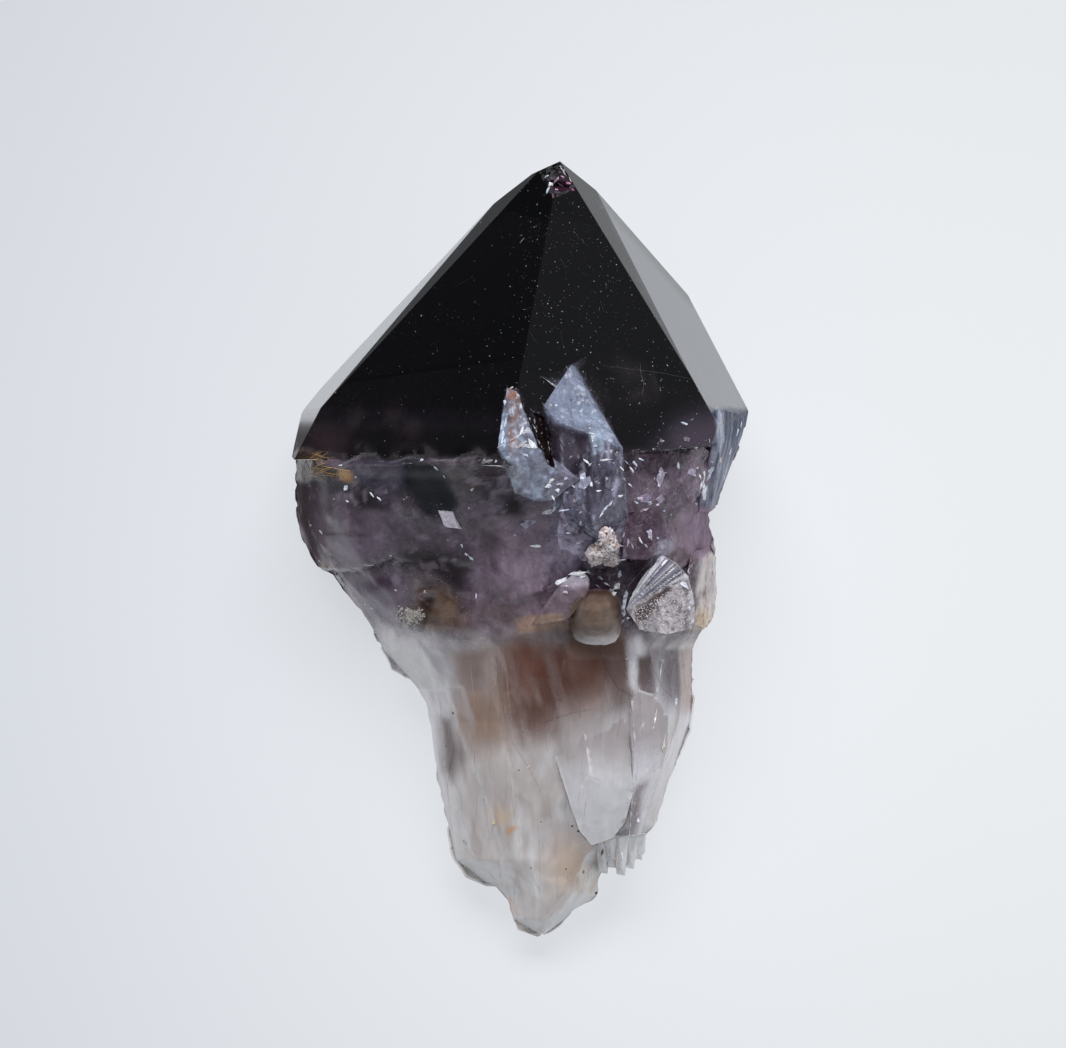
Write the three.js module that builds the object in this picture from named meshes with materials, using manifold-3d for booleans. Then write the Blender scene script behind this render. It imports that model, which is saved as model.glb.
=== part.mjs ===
// Amethyst point: one natural quartz crystal, a broad smoky, six-sided head on a ragged milky root,
// lying on its back on a flat break. Millimetres, +Z up, origin at the middle of the underside's box.
//
// The crystal is described in a flat "drawing" frame: column x to the right and row y downwards, both in
// drawing units of UNIT mm, and w, the height in mm above the drawing plane. The drawing is in perspective,
// from EYE mm above its middle: a point at height w is drawn 1 / (1 - w / EYE) times its size. place() leans
// the plane back by LEAN, so that the flat break lies level at z = 0.
import * as THREE from 'three';
import { ConvexGeometry } from 'three/addons/geometries/ConvexGeometry.js';
import { mergeVertices } from 'three/addons/utils/BufferGeometryUtils.js';
import Module from 'manifold-3d';

const wasm = await Module();
wasm.setup();

// ---------------------------------------------------------------- driving dimensions
const UNIT = 0.175;                      // mm for one drawing unit: the crystal is 775 units long
const LEAN = THREE.MathUtils.degToRad(12); // the drawing plane leans back by this
const MID_X = 533, MID_Y = 524;          // drawing centre
const EYE = 600;                         // height of the drawing's eye, mm
const BREAK_LEVEL = -28;                 // height of the flat break before the part is set down on it, mm
const APEX = [560, 161, 0];              // tip of the pyramid
const RIDGE_FOOT = [515, 400, 25];       // where the front ridge meets the girdle
const LEFT_SHOULDER = [318, 411, 1];     // three faces meet here on the left
const RIGHT_SHOULDER = [692, 378, 12.5]; // and here on the right
const RING_FRONT = 20, RING_BACK = 16;   // points round the broken stem: in front and behind

// ---------------------------------------------------------------- frame
const flat = ([x, y, w]) => new THREE.Vector3((x - MID_X) * UNIT * (1 - w / EYE), (MID_Y - y) * UNIT * (1 - w / EYE), w);
function place(v) { // drawing frame (mm) to the part's own frame
  return new THREE.Vector3(
    v.x,
    v.y * Math.cos(LEAN) - v.z * Math.sin(LEAN),
    v.y * Math.sin(LEAN) + v.z * Math.cos(LEAN),
  );
}

// ---------------------------------------------------------------- solids
function solid(geometry) {
  const g = geometry.clone();
  g.deleteAttribute('normal');
  g.deleteAttribute('uv');
  const m = mergeVertices(g, 1e-4);
  return new wasm.Manifold(new wasm.Mesh({
    numProp: 3,
    vertProperties: new Float32Array(m.attributes.position.array),
    triVerts: new Uint32Array(m.index.array),
  }));
}
// convex chunk round a list of drawing points
const chunk = (points) => solid(new ConvexGeometry(points.map((p) => place(flat(p)))));

// a plane through three drawing points, its normal away from the inner point
function face(p, q, r, inner) {
  const a = flat(p), b = flat(q), c = flat(r);
  const plane = new THREE.Plane().setFromCoplanarPoints(a, b, c);
  if (plane.distanceToPoint(flat(inner)) > 0) plane.negate();
  return plane;
}
function faceAt(point, normal) {
  return new THREE.Plane().setFromNormalAndCoplanarPoint(new THREE.Vector3(...normal).normalize(), flat(point));
}
const depthOn = (plane, x, y) => { // height of the plane where the line of sight through (x, y) meets it
  const p = flat([x, y, 0]), { normal: n, constant } = plane;
  return -(n.x * p.x + n.y * p.y + constant) / (n.z - (n.x * p.x + n.y * p.y) / EYE);
};
// the corners of the solid that a set of planes encloses
function corners(planes) {
  const found = [];
  for (let i = 0; i < planes.length; i++)
    for (let j = i + 1; j < planes.length; j++)
      for (let k = j + 1; k < planes.length; k++) {
        const [a, b, c] = [planes[i], planes[j], planes[k]];
        const det = a.normal.dot(new THREE.Vector3().crossVectors(b.normal, c.normal));
        if (Math.abs(det) < 1e-6) continue;
        const p = new THREE.Vector3()
          .addScaledVector(new THREE.Vector3().crossVectors(b.normal, c.normal), -a.constant)
          .addScaledVector(new THREE.Vector3().crossVectors(c.normal, a.normal), -b.constant)
          .addScaledVector(new THREE.Vector3().crossVectors(a.normal, b.normal), -c.constant)
          .divideScalar(det);
        if (planes.every((q) => q.distanceToPoint(p) < 1e-4) && !found.some((f) => f.distanceTo(p) < 1e-3)) found.push(p);
      }
  return found;
}

// ---------------------------------------------------------------- the head
const INNER = [520, 400, -8];
// a plane through the edge p to q whose unit normal has the given rise out of the drawing plane
function faceOnEdge(p, q, rise) {
  const a = flat(p), d = flat(q).sub(a);
  const side = Math.hypot(d.x, d.y), t = -rise * d.z / side, r = Math.sqrt(Math.max(0, 1 - rise * rise - t * t));
  for (const turn of [1, -1]) {
    const n = new THREE.Vector3((t * d.x - turn * r * d.y) / side, (t * d.y + turn * r * d.x) / side, rise);
    const plane = new THREE.Plane().setFromNormalAndCoplanarPoint(n, a);
    if (plane.distanceToPoint(flat(INNER)) < 0) return plane;
  }
}
const f1 = face(APEX, RIDGE_FOOT, LEFT_SHOULDER, INNER);   // broad dark face, front left
const f2 = face(APEX, RIDGE_FOOT, RIGHT_SHOULDER, INNER);  // front right
const f3Top = [596, 190, -5.2], f4Edge = [688, 295, -24];
const f3 = face(RIGHT_SHOULDER, [561, 163, depthOn(f2, 561, 163)], f3Top, INNER); // thin bevel on the right
const f4 = face(RIGHT_SHOULDER, f3Top, f4Edge, INNER);     // right face, seen nearly edge on
const f5Top = [468, 234, -2.82], f6Edge = [301, 410, -26];
const f5 = face(LEFT_SHOULDER, [530, 180, depthOn(f1, 530, 180)], f5Top, INNER);  // thin bevel on the left
const f6 = face(LEFT_SHOULDER, f5Top, f6Edge, INNER);      // left face, all but edge on
const f6Top = [467, 229, depthOn(f6, 467, 229)], shoulder = [507, 193, depthOn(f5, 507, 193)], tipSide = [532, 174, -2.2];
const backLeft = faceOnEdge(f6Edge, f6Top, -0.5);
const backLeftTop = faceOnEdge(f6Top, shoulder, 0);
const tipLeftLow = faceOnEdge(shoulder, tipSide, -0.4);
const tipLeft = faceOnEdge(tipSide, APEX, -0.4);
const tipRight = faceOnEdge(APEX, f3Top, -0.4);
const backRight = faceOnEdge(f3Top, f4Edge, -0.49);
const f4Foot = [745, 404, depthOn(f4, 745, 404)];
const backRightLow = faceOnEdge(f4Edge, f4Foot, -0.45);
const prismRight = face([721, 411, 14], [711, 515, 8], [748, 414, -13], INNER);
const prismBackRight = faceOnEdge([748, 414, -13], [727, 472, -13.5], -0.62);
const prismLeft = face([318, 413, 1.3], [297, 422, -22], [304, 440, 3.1], INNER);
const prismSideLeft = faceOnEdge([297, 424, -12], [295.5, 470, -12], 0);
const prismBackLeft = faceOnEdge([298, 428, -22], [296, 470, -23], -0.72);
const prismBack = faceAt([520, 440, -31.2], [0, 0.16, -0.987]);
const headFoot = face([322, 461, depthOn(f1, 322, 461)], [500, 467, depthOn(f1, 500, 467)], [716, 447, depthOn(f2, 716, 447)], INNER);

const headPlanes = [f1, f2, f3, f4, f5, f6, backLeft, backLeftTop, tipLeftLow, tipLeft, tipRight, backRight, backRightLow,
  prismRight, prismBackRight, prismLeft, prismSideLeft, prismBackLeft, prismBack, headFoot];
const head = solid(new ConvexGeometry(corners(headPlanes).map(place)));

// ---------------------------------------------------------------- the broken stem, lofted row by row
const leftEdge = [[425, 300], [446, 296], [480, 295], [509, 297], [525, 299], [540, 303], [554, 310], [565, 316],
  [570, 320], [575, 331], [585, 339], [600, 351], [606, 355], [610, 361], [624, 369], [647, 380], [657, 387],
  [669, 391], [678, 408], [690, 418], [701, 425], [721, 429], [750, 434], [780, 437], [799, 442], [822, 447],
  [849, 449], [861, 454], [870, 460], [878, 466], [883, 478], [888, 495], [901, 507], [919, 513], [930, 517], [936, 538]];
const rightEdge = [[425, 740], [444, 740], [462, 733], [476, 725], [492, 721], [509, 714], [513, 709], [528, 711],
  [550, 716], [590, 715], [616, 712], [645, 694], [674, 693], [704, 695], [732, 691], [750, 683], [767, 675],
  [796, 665], [825, 656], [840, 640], [854, 622], [866, 606], [880, 599], [894, 598], [900, 594], [904, 584], [911, 573],
  [919, 567], [927, 558], [936, 546]];
// height of the front along a row: [row, [[column, w], ...]]; the first and last are on the outline
const front = [
  [425, [[300, -20], [307, -7], [319, -1], [340, 4.5], [400, 12], [450, 18], [500, 24], [540, 23], [600, 20], [660, 16], [715, 11], [738, -14]]],
  [462, [[296, -18], [302, -4], [312, 6.4], [328, 9.6], [345, 11.9], [400, 18.9], [440, 24], [470, 27.0], [480, 26.8], [520, 27.5], [560, 26.5], [610, 24], [665, 19], [708, 12.5], [733, -10]]],
  [480, [[295, -17], [300, -7], [310, 0.5], [326, 6.5], [345, 10], [390, 16], [430, 20.3], [470, 24.2], [510, 25.6], [560, 26], [610, 23.5], [665, 18.5], [704, 11.5], [724, -8]]],
  [509, [[297, -17], [302, -9], [313, -2], [328, 4], [345, 7.8], [390, 13], [430, 16.6], [470, 19.6], [520, 22], [570, 23.5], [620, 21], [665, 17], [698, 11.5], [714, -4]]],
  [535, [[301, -18], [318, -6], [350, 4.5], [390, 9.5], [430, 13], [470, 16], [520, 18.5], [570, 20.5], [620, 19.5], [660, 16], [692, 11], [712, -4]]],
  [570, [[320, -17], [336, -8], [365, 1], [400, 6.5], [440, 10.5], [480, 14], [530, 16], [575, 17.5], [620, 16.5], [660, 14], [695, 8], [716, -5]]],
  [600, [[351, -15], [366, -7], [392, 1], [420, 6], [455, 9.5], [495, 12.5], [535, 14.5], [580, 15], [620, 14], [660, 12], [695, 6], [715, -5]]],
  [624, [[369, -14], [382, -7], [405, 0.5], [430, 5], [460, 8.5], [500, 11.5], [540, 13], [580, 13], [620, 12], [655, 10], [690, 3], [708, -6]]],
  [650, [[382, -13], [398, -7], [420, 0], [440, 4], [470, 7.5], [505, 10], [545, 11.5], [585, 11.5], [620, 10.5], [650, 8], [680, 1], [694, -7]]],
  [690, [[418, -12], [428, -6], [445, 0], [465, 4.5], [490, 7.5], [520, 9.5], [555, 10.5], [590, 10.5], [625, 9], [655, 6], [682, -1], [694, -8]]],
  [721, [[429, -11], [440, -5], [455, 0], [475, 4], [500, 6.5], [530, 8.5], [560, 9.5], [595, 9.5], [625, 8], [655, 4.5], [680, -2], [692, -8]]],
  [767, [[435, -10], [446, -5], [460, -1], [480, 2.5], [500, 5], [525, 7], [555, 8], [590, 8], [620, 6.5], [645, 3], [664, -3], [675, -8]]],
  [825, [[447, -9], [456, -5], [470, -1.5], [488, 1], [505, 3], [525, 4.5], [550, 5], [580, 4.5], [605, 3], [628, 0], [645, -4], [656, -8]]],
  [861, [[454, -8], [463, -5], [475, -2.5], [490, -0.5], [505, 1], [525, 2.5], [548, 3], [566, 2.5], [582, 1], [595, -1.5], [605, -4.5], [613, -7.5]]],
  [894, [[500, -7.5], [506, -5.5], [514, -3.5], [522, -2], [532, -0.8], [543, 0], [554, 0.2], [564, -0.5], [574, -1.8], [584, -3.5], [592, -5.5], [598, -7.5]]],
  [919, [[513, -7], [517, -5.5], [522, -4.3], [528, -3.2], [534, -2.6], [540, -2.2], [546, -2.3], [551, -2.8], [556, -3.6], [560, -4.7], [564, -6], [567, -7]]],
  [936, [[538, -6.6], [539, -6], [540, -5.6], [540.8, -5.4], [541.5, -5.2], [542, -5.2], [542.6, -5.2], [543.2, -5.4], [544, -5.6], [544.6, -5.9], [545.3, -6.2], [546, -6.6]]],
];
// deepest w behind along a row, and how square that side is
const back = [[425, -36, 4], [470, -36, 4], [560, -33.5, 4], [600, -32, 3.6], [640, -29, 3.2], [680, -24.6, 3], [705, -22.2, 2.8],
  [730, -20.2, 2.6], [767, -17.6, 2.5], [825, -15.2, 2.4], [861, -13.4, 2.2], [894, -11.6, 2], [919, -9.6, 2], [936, -7.6, 2]];

const lerp = THREE.MathUtils.lerp;
function along(table, t, column = 1) { // piecewise linear, table sorted by its first column
  if (t <= table[0][0]) return table[0][column];
  for (let i = 1; i < table.length; i++)
    if (t <= table[i][0]) {
      const f = (t - table[i - 1][0]) / (table[i][0] - table[i - 1][0]);
      return lerp(table[i - 1][column], table[i][column], f);
    }
  return table[table.length - 1][column];
}
// height of one front row at a share u of its own width
const acrossRow = (row, u) => along(row, lerp(row[0][0], row[row.length - 1][0], u));
const smooth = (p0, p1, p2, p3, f) => 0.5 * (2 * p1 + (p2 - p0) * f + (2 * p0 - 5 * p1 + 4 * p2 - p3) * f * f + (3 * p1 - p0 - 3 * p2 + p3) * f * f * f);
// height of the front over column x of row y
function frontHeight(x, y) {
  let i = 1;
  while (i < front.length - 1 && y > front[i][0]) i++;
  const f = THREE.MathUtils.clamp((y - front[i - 1][0]) / (front[i][0] - front[i - 1][0]), 0, 1);
  const ends = [0, -1].map((e) => lerp(front[i - 1][1].at(e)[0], front[i][1].at(e)[0], f));
  const u = THREE.MathUtils.clamp((x - ends[0]) / (ends[1] - ends[0]), 0, 1);
  const h = [i - 2, i - 1, i, i + 1].map((k) => acrossRow(front[THREE.MathUtils.clamp(k, 0, front.length - 1)][1], u));
  return smooth(...h, f);
}
const rows = [...new Set([...leftEdge, ...rightEdge].map((e) => e[0]).concat([710, 738, 812, 838]))]
  .filter((y) => y < 936).sort((a, b) => a - b).filter((y, i, all) => i === 0 || y - all[i - 1] > 3);
rows.push(936);

const positions = [];
const ringSize = RING_FRONT + RING_BACK;
for (const y of rows) {
  const x0 = along(leftEdge, y), x1 = along(rightEdge, y);
  for (let i = 0; i <= RING_FRONT; i++) { // left to right over the front
    const u = 0.5 - 0.5 * Math.cos((Math.PI * i) / RING_FRONT);
    positions.push([lerp(x0, x1, u), y, frontHeight(lerp(x0, x1, u), y)]);
  }
  const rim0 = frontHeight(x0, y), rim1 = frontHeight(x1, y), deep = along(back, y), power = along(back, y, 2);
  for (let i = 1; i < RING_BACK; i++) { // and back again behind
    const c = Math.cos((Math.PI * i) / RING_BACK);
    const u = 0.5 + 0.5 * c;
    const round = Math.pow(1 - Math.pow(Math.abs(c), power), 1 / power);
    positions.push([lerp(x0, x1, u), y, lerp(lerp(rim0, rim1, u), deep, round)]);
  }
}
const points = positions.map((p) => place(flat(p)));
const middle = (k) => {
  const m = new THREE.Vector3();
  for (let i = 0; i < ringSize; i++) m.add(points[k * ringSize + i]);
  return m.divideScalar(ringSize);
};
const topMid = points.push(middle(0)) - 1;
const endMid = points.push(middle(rows.length - 1)) - 1;
const index = [];
for (let k = 0; k + 1 < rows.length; k++)
  for (let i = 0; i < ringSize; i++) {
    const a = k * ringSize + i, b = k * ringSize + ((i + 1) % ringSize), c = a + ringSize, d = b + ringSize;
    index.push(a, c, b, b, c, d);
  }
for (let i = 0; i < ringSize; i++) {
  const j = (i + 1) % ringSize, last = (rows.length - 1) * ringSize;
  index.push(topMid, i, j, endMid, last + j, last + i);
}
const loft = new THREE.BufferGeometry();
loft.setAttribute('position', new THREE.Float32BufferAttribute(points.flatMap((p) => [p.x, p.y, p.z]), 3));
loft.setIndex(index);
const stem = solid(loft);

// ---------------------------------------------------------------- smaller crystals, lobes and shards grown into it
const end = face([571, 365, 20.8], [544, 405, 27.2], [621, 447, 28.4], INNER); // end face of the small crystal in front
const onEnd = ([x, y]) => [x, y, depthOn(end, x, y)];
const onRight = (x, y, above) => [x, y, depthOn(f2, x, y) + above]; // over or under the front right face
// smooth olive dome in the neck: a squarish ring that closes to one top
const dome = [[596, 618, 18.7], [596, 612, 2]];
for (const rise of [0, 0.4, 0.8, 1.2])
  for (let i = 0; i < 14; i++) {
    const c = Math.cos((i / 7) * Math.PI), s = Math.sin((i / 7) * Math.PI);
    const y = 618 + 30 * Math.cos(rise) * Math.sign(s) * Math.abs(s) ** 0.7;
    dome.push([596 + 27 * Math.cos(rise) * Math.sign(c) * Math.abs(c) ** 0.7, y, 11.2 - 0.12 * (y - 622) + 7.1 * Math.sin(rise)]);
  }
// one fluted splinter at the lower end: column, half width, row of its tip, height
const splinter = (x, half, tip, w) => [[x - half, 836, w + 0.2], [x + half, 835, w - 0.1], [x - 0.3 * half, 838, w + 0.7], [x, tip - 7, w - 1.8],
  [x - 0.55 * half, tip - 1, w - 3.2], [x + 0.55 * half, tip + 1, w - 3.7], [x - half, 842, -10.5], [x + half, 840, -10.5], [x, tip, -10]];
const added = [
  // small crystal leaning on the front: end face, side faces and prism
  [...[[571, 365], [544, 405], [553, 417], [566, 424], [592, 432], [621, 447], [598, 409], [584, 385]].map(onEnd),
    [577, 367, 19.2], [623, 448, 25.2], [628, 516, 22.4], [622, 520, 24.4], [592, 524, 28.2], [566, 512, 27.6], [556, 470, 27.4],
    [600, 545, 23.0], [571, 372, 12], [545, 420, 12], [625, 540, 10], [560, 545, 10]],
  // thin curved blade to its left, upper and lower half
  [[507, 387, 25.4], [517, 391, 25.8], [522, 404, 27.6], [529, 426, 30.4], [539, 449, 31.6], [497, 449, 31.0], [503, 411, 27.0], [501, 430, 29.2],
    [508, 400, 14], [535, 450, 14], [500, 450, 14]],
  [[497, 447, 31.0], [508, 462, 31.2], [515, 493, 28.4], [534, 501, 27.4], [552, 501, 27.8], [581, 479, 28.6], [560, 473, 30.4], [549, 459, 31.4], [539, 448, 31.6],
    [505, 450, 14], [575, 480, 14], [535, 500, 14], [515, 490, 14]],
  // blocky steps under the small crystal
  [[560, 505, 26.4], [600, 500, 25.6], [628, 512, 23.0], [622, 548, 20.4], [585, 562, 20.6], [556, 548, 22.4], [570, 530, 25.4], [590, 530, 8]],
  [onRight(620, 455, 0.4), onRight(640, 449, -0.1), onRight(668, 446, -0.1), onRight(696, 441, -0.3), [712, 452, 12.6], [708, 486, 12.2], [694, 502, 15.0],
    [655, 514, 19.2], [626, 512, 21.6], [618, 480, 23.4], [617, 450, 17], [616, 458, 8], [616, 508, 8], [700, 486, 6], [690, 450, 6]],
  [[624, 508, 21.4], [640, 512, 20.6], [664, 508, 19.2], [672, 530, 17.2], [666, 552, 16.6], [648, 560, 17.8], [622, 560, 19.4], [622, 510, 8], [622, 558, 8], [662, 530, 6]],
  // side face of the prism on the right
  [[719, 409, 13.6], [721, 440, 11.6], [716, 478, 9.6], [710, 512, 7.0], [747, 416, -12], [742, 436, -13], [728, 470, -13], [715, 508, -7], [692, 415, 0], [690, 505, -2],
    [722, 430, -24], [712, 480, -22], [704, 456, 12.4], [702, 490, 12.9], [699, 512, 10.4], [668, 455, 8], [668, 505, 8]],
  // rounded lobe, dome and clear striated fragment along the neck
  [[552, 604, 17.4], [560, 582, 19.0], [580, 570, 20.0], [590, 578, 19.8], [587, 600, 19.0], [566, 620, 16.2], [530, 626, 14.6], [550, 600, 4], [590, 620, 4]],
  dome,
  [[662, 555, 20.6], [676, 562, 19.6], [689, 577, 16.0], [695, 604, 13.6], [694, 628, 12.2], [668, 634, 14.6], [640, 630, 16.4], [626, 609, 19.0], [634, 590, 20.6], [648, 570, 21.2],
    [660, 590, 2], [650, 630, 2]],
  // pale corner on the right
  [[690, 552, 9.0], [708, 546, 5.0], [717, 556, -4.0], [717, 592, -4.0], [714, 618, -5.0], [704, 630, 2.0], [688, 625, 8.0], [684, 590, 11.0], [694, 570, 10.0], [700, 590, -14], [700, 620, -14]],
  // big whitish shard on the front of the root
  [[541, 722, 8.0], [580, 706, 9.3], [624, 718, 7.7], [631, 752, 7.3], [634, 791, 7.2], [626, 822, 6.4], [614, 838, 5.6], [591, 846, 5.2], [579, 831, 6.2], [571, 809, 7.2], [557, 764, 7.9],
    [590, 776, 8.9], [590, 740, 0], [600, 820, 0]],
  // second shard beside it
  [[630, 686, 7.4], [655, 694, 6.4], [668, 716, 4.9], [667, 748, 4.0], [656, 784, 2.6], [644, 812, 2.2], [640, 836, 2.0], [628, 838, 3.6], [632, 790, 6.8], [634, 744, 8.2], [650, 760, -6]],
  // fluted end splinters and the plate that they grow from
  [[596, 836, 1.2], [620, 836, 1.6], [646, 833, -1.2], [598, 866, -2.4], [612, 862, -1.6], [624, 869, -2.2], [634, 861, -3.2], [645, 853, -4.6], [600, 862, -10.5],
    [643, 848, -10.5], [597, 842, -10.5], [645, 838, -10.5]],
  splinter(603, 8, 873, 1.4), splinter(612, 8, 867, 2.2), splinter(621, 8, 875, 1.9), splinter(630, 7.5, 868, 0.9), splinter(638, 7, 859, -0.6),
];
const removed = [
  // hollow between the blade and the small crystal
  [[531, 408, 34], [545, 412, 34], [556, 432, 34], [556, 470, 34], [546, 466, 34], [536, 440, 34],
    [533, 412, 24.4], [543, 416, 23.6], [551, 434, 24.6], [551, 462, 25.8], [546, 456, 26.2], [538, 438, 25.6]],
  // pit under the crumbs
  [[589, 566, 26], [617, 566, 26], [615, 588, 26], [600, 594, 26], [592, 584, 26], [596, 570, 16.4], [612, 570, 16.2], [606, 582, 15.8]],
  // chip beside the tip
  [[543, 178, 6], [560, 171, 6], [578, 186, 6], [566, 197, 6], [549, 192, 6], [550, 181, 0.3], [568, 186, -0.2], [557, 189, 1.0]],
];

let crystal = stem.add(head);
for (const list of added) crystal = crystal.add(chunk(list));
for (const list of removed) crystal = crystal.subtract(chunk(list));

// everything below the flat break is gone
const slab = new THREE.BoxGeometry(400, 400, 100).translate(0, 0, BREAK_LEVEL - 50);
crystal = crystal.subtract(solid(slab));

// ---------------------------------------------------------------- set down, origin at the middle of its underside's box
const mesh = crystal.getMesh();
const geometry = new THREE.BufferGeometry();
geometry.setAttribute('position', new THREE.BufferAttribute(new Float32Array(mesh.vertProperties), 3));
geometry.setIndex(new THREE.BufferAttribute(new Uint32Array(mesh.triVerts), 1));
geometry.computeBoundingBox();
const box = geometry.boundingBox;
geometry.translate(-(box.min.x + box.max.x) / 2, -(box.min.y + box.max.y) / 2, -box.min.z);
geometry.computeVertexNormals();

const point = new THREE.Mesh(geometry, new THREE.MeshStandardMaterial({ color: 0x3a2d40, roughness: 0.08, metalness: 0 }));
point.name = 'amethyst_point';
const part = new THREE.Group();
part.add(point);
export default part;
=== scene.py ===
# Amethyst point, lying on its back on a pale floor: a smoky, near-black, six-sided head, a purple broken
# middle with small crystals on it, and a milky, iron-stained root.
import math
import bpy
import bmesh
import numpy as np
from mathutils import Matrix, Vector
from mathutils.bvhtree import BVHTree


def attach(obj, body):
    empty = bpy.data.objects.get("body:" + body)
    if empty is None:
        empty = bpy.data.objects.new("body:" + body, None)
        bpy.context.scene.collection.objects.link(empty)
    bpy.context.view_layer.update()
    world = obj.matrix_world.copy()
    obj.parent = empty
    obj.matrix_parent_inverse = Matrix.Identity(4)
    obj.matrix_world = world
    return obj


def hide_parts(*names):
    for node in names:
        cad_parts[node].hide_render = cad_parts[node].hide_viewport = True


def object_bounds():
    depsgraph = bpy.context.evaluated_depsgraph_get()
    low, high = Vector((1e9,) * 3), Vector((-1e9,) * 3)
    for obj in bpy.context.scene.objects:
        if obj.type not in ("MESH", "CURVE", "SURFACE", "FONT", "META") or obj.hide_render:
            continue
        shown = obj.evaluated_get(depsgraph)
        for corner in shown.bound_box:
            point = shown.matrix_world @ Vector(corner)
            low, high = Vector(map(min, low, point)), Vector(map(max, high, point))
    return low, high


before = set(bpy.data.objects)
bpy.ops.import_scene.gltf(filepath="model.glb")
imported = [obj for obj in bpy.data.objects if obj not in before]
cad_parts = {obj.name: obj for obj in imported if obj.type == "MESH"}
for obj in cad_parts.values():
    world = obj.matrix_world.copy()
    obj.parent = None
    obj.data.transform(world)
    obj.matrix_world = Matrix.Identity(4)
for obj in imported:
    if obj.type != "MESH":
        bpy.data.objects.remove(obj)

cad_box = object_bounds()
rng = np.random.default_rng(7)

# ---------------------------------------------------------------- the drawing frame
# Column x to the right and row y downwards in drawing units of UNIT mm, w in mm above the drawing plane,
# drawn in perspective from EYE mm above its middle; the plane leans back by LEAN. Results are in metres.
UNIT, LEAN, MID_X, MID_Y, EYE, BREAK_LEVEL = 0.175, math.radians(12), 533.0, 524.0, 600.0, -28.0
SHIFT = np.array((2.14831, 3.96202, 28.0))  # how far the part was moved when it was set down, mm
CL, SL = math.cos(LEAN), math.sin(LEAN)


def flat(p):
    """Drawing columns x, y, w to mm in the drawing plane's own axes."""
    p = np.asarray(p, float)
    k = UNIT * (1 - p[..., 2] / EYE)
    return np.stack(((p[..., 0] - MID_X) * k, (MID_Y - p[..., 1]) * k, p[..., 2]), -1)


def place(q):
    """Drawing-plane mm to the part's frame, metres."""
    q = np.asarray(q, float)
    out = np.stack((q[..., 0], q[..., 1] * CL - q[..., 2] * SL, q[..., 1] * SL + q[..., 2] * CL), -1)
    return (out + SHIFT) / 1000


def back_to_flat(v):
    v = np.asarray(v, float) * 1000 - SHIFT
    return np.stack((v[..., 0], v[..., 1] * CL + v[..., 2] * SL, v[..., 2] * CL - v[..., 1] * SL), -1)


def back_to_drawing(v):
    """Metres in the part's frame to drawing x, y, w."""
    q = back_to_flat(v)
    k = UNIT * (1 - q[..., 2] / EYE)
    return np.stack((q[..., 0] / k + MID_X, MID_Y - q[..., 1] / k, q[..., 2]), -1)


# ---------------------------------------------------------------- camera
cam_data = bpy.data.cameras.new("camera")
cam = bpy.data.objects.new("camera", cam_data)
bpy.context.scene.collection.objects.link(cam)
bpy.context.scene.camera = cam
cam_data.sensor_fit = "HORIZONTAL"
cam_data.sensor_width = 36.0
cam_data.lens = 36.0 * EYE / (1066 * UNIT)
cam_data.clip_start = 0.01
cam.matrix_world = Matrix.Translation(Vector(place((0, 0, EYE)))) @ Matrix.Rotation(LEAN, 4, "X")

# ---------------------------------------------------------------- noise
_lattices = {}


def vnoise(p, size, seed=0):
    """Smooth value noise in -1..1 at points p (n, 3), with features of that size."""
    if seed not in _lattices:
        _lattices[seed] = np.random.default_rng(1000 + seed).uniform(-1, 1, (32, 32, 32))
    g = _lattices[seed]
    q = np.asarray(p, float) / size
    i = np.floor(q).astype(int)
    f = q - i
    f = f * f * f * (f * (f * 6 - 15) + 10)
    out = 0
    for dx in (0, 1):
        for dy in (0, 1):
            for dz in (0, 1):
                w = (f[:, 0] if dx else 1 - f[:, 0]) * (f[:, 1] if dy else 1 - f[:, 1]) * (f[:, 2] if dz else 1 - f[:, 2])
                out = out + w * g[(i[:, 0] + dx) & 31, (i[:, 1] + dy) & 31, (i[:, 2] + dz) & 31]
    return out


def fbm(p, size, octaves=4, seed=0, gain=0.5):
    out, a, total = 0, 1.0, 0.0
    for k in range(octaves):
        out = out + a * vnoise(p, size / 2**k, seed + k)
        total += a
        a *= gain
    return out / total


def cells(p, size, seed=0, stretch=(1, 1, 1)):
    """Jittered-grid Voronoi: distances to the nearest and second nearest site, and the nearest site's place and number."""
    q = np.asarray(p, float) * np.asarray(stretch, float) / size
    base = np.floor(q).astype(int)
    f1 = np.full(len(q), 1e9)
    f2 = np.full(len(q), 1e9)
    site = np.zeros((len(q), 3))
    number = np.zeros(len(q), int)
    for dx in (-1, 0, 1):
        for dy in (-1, 0, 1):
            for dz in (-1, 0, 1):
                c = base + (dx, dy, dz)
                h = (c[:, 0] * 73856093) ^ (c[:, 1] * 19349663) ^ (c[:, 2] * 83492791) ^ (seed * 2654435761)
                h = (h ^ (h >> 13)) * 1274126177 & 0x7FFFFFFF
                j = np.stack(((h & 1023), (h >> 10 & 1023), (h >> 20 & 1023)), 1) / 1023.0
                s = c + 0.1 + 0.8 * j
                d = np.sqrt(((q - s) ** 2).sum(1))
                near = d < f1
                f2 = np.where(near, f1, np.minimum(f2, d))
                site[near] = s[near]
                number[near] = h[near]
                f1 = np.where(near, d, f1)
    return f1, f2, site * size / np.asarray(stretch, float), number


def random_of(number, k):
    """A steady random number in -1..1 for each cell number."""
    h = (number * (2 * k + 3) * 40503 + k * 977) & 0xFFFF
    h = (h * 25173 + 13849) & 0xFFFF
    return h / 32767.5 - 1


def ramp(t, a, b):
    t = np.clip((t - a) / (b - a), 0, 1)
    return t * t * (3 - 2 * t)


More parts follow.
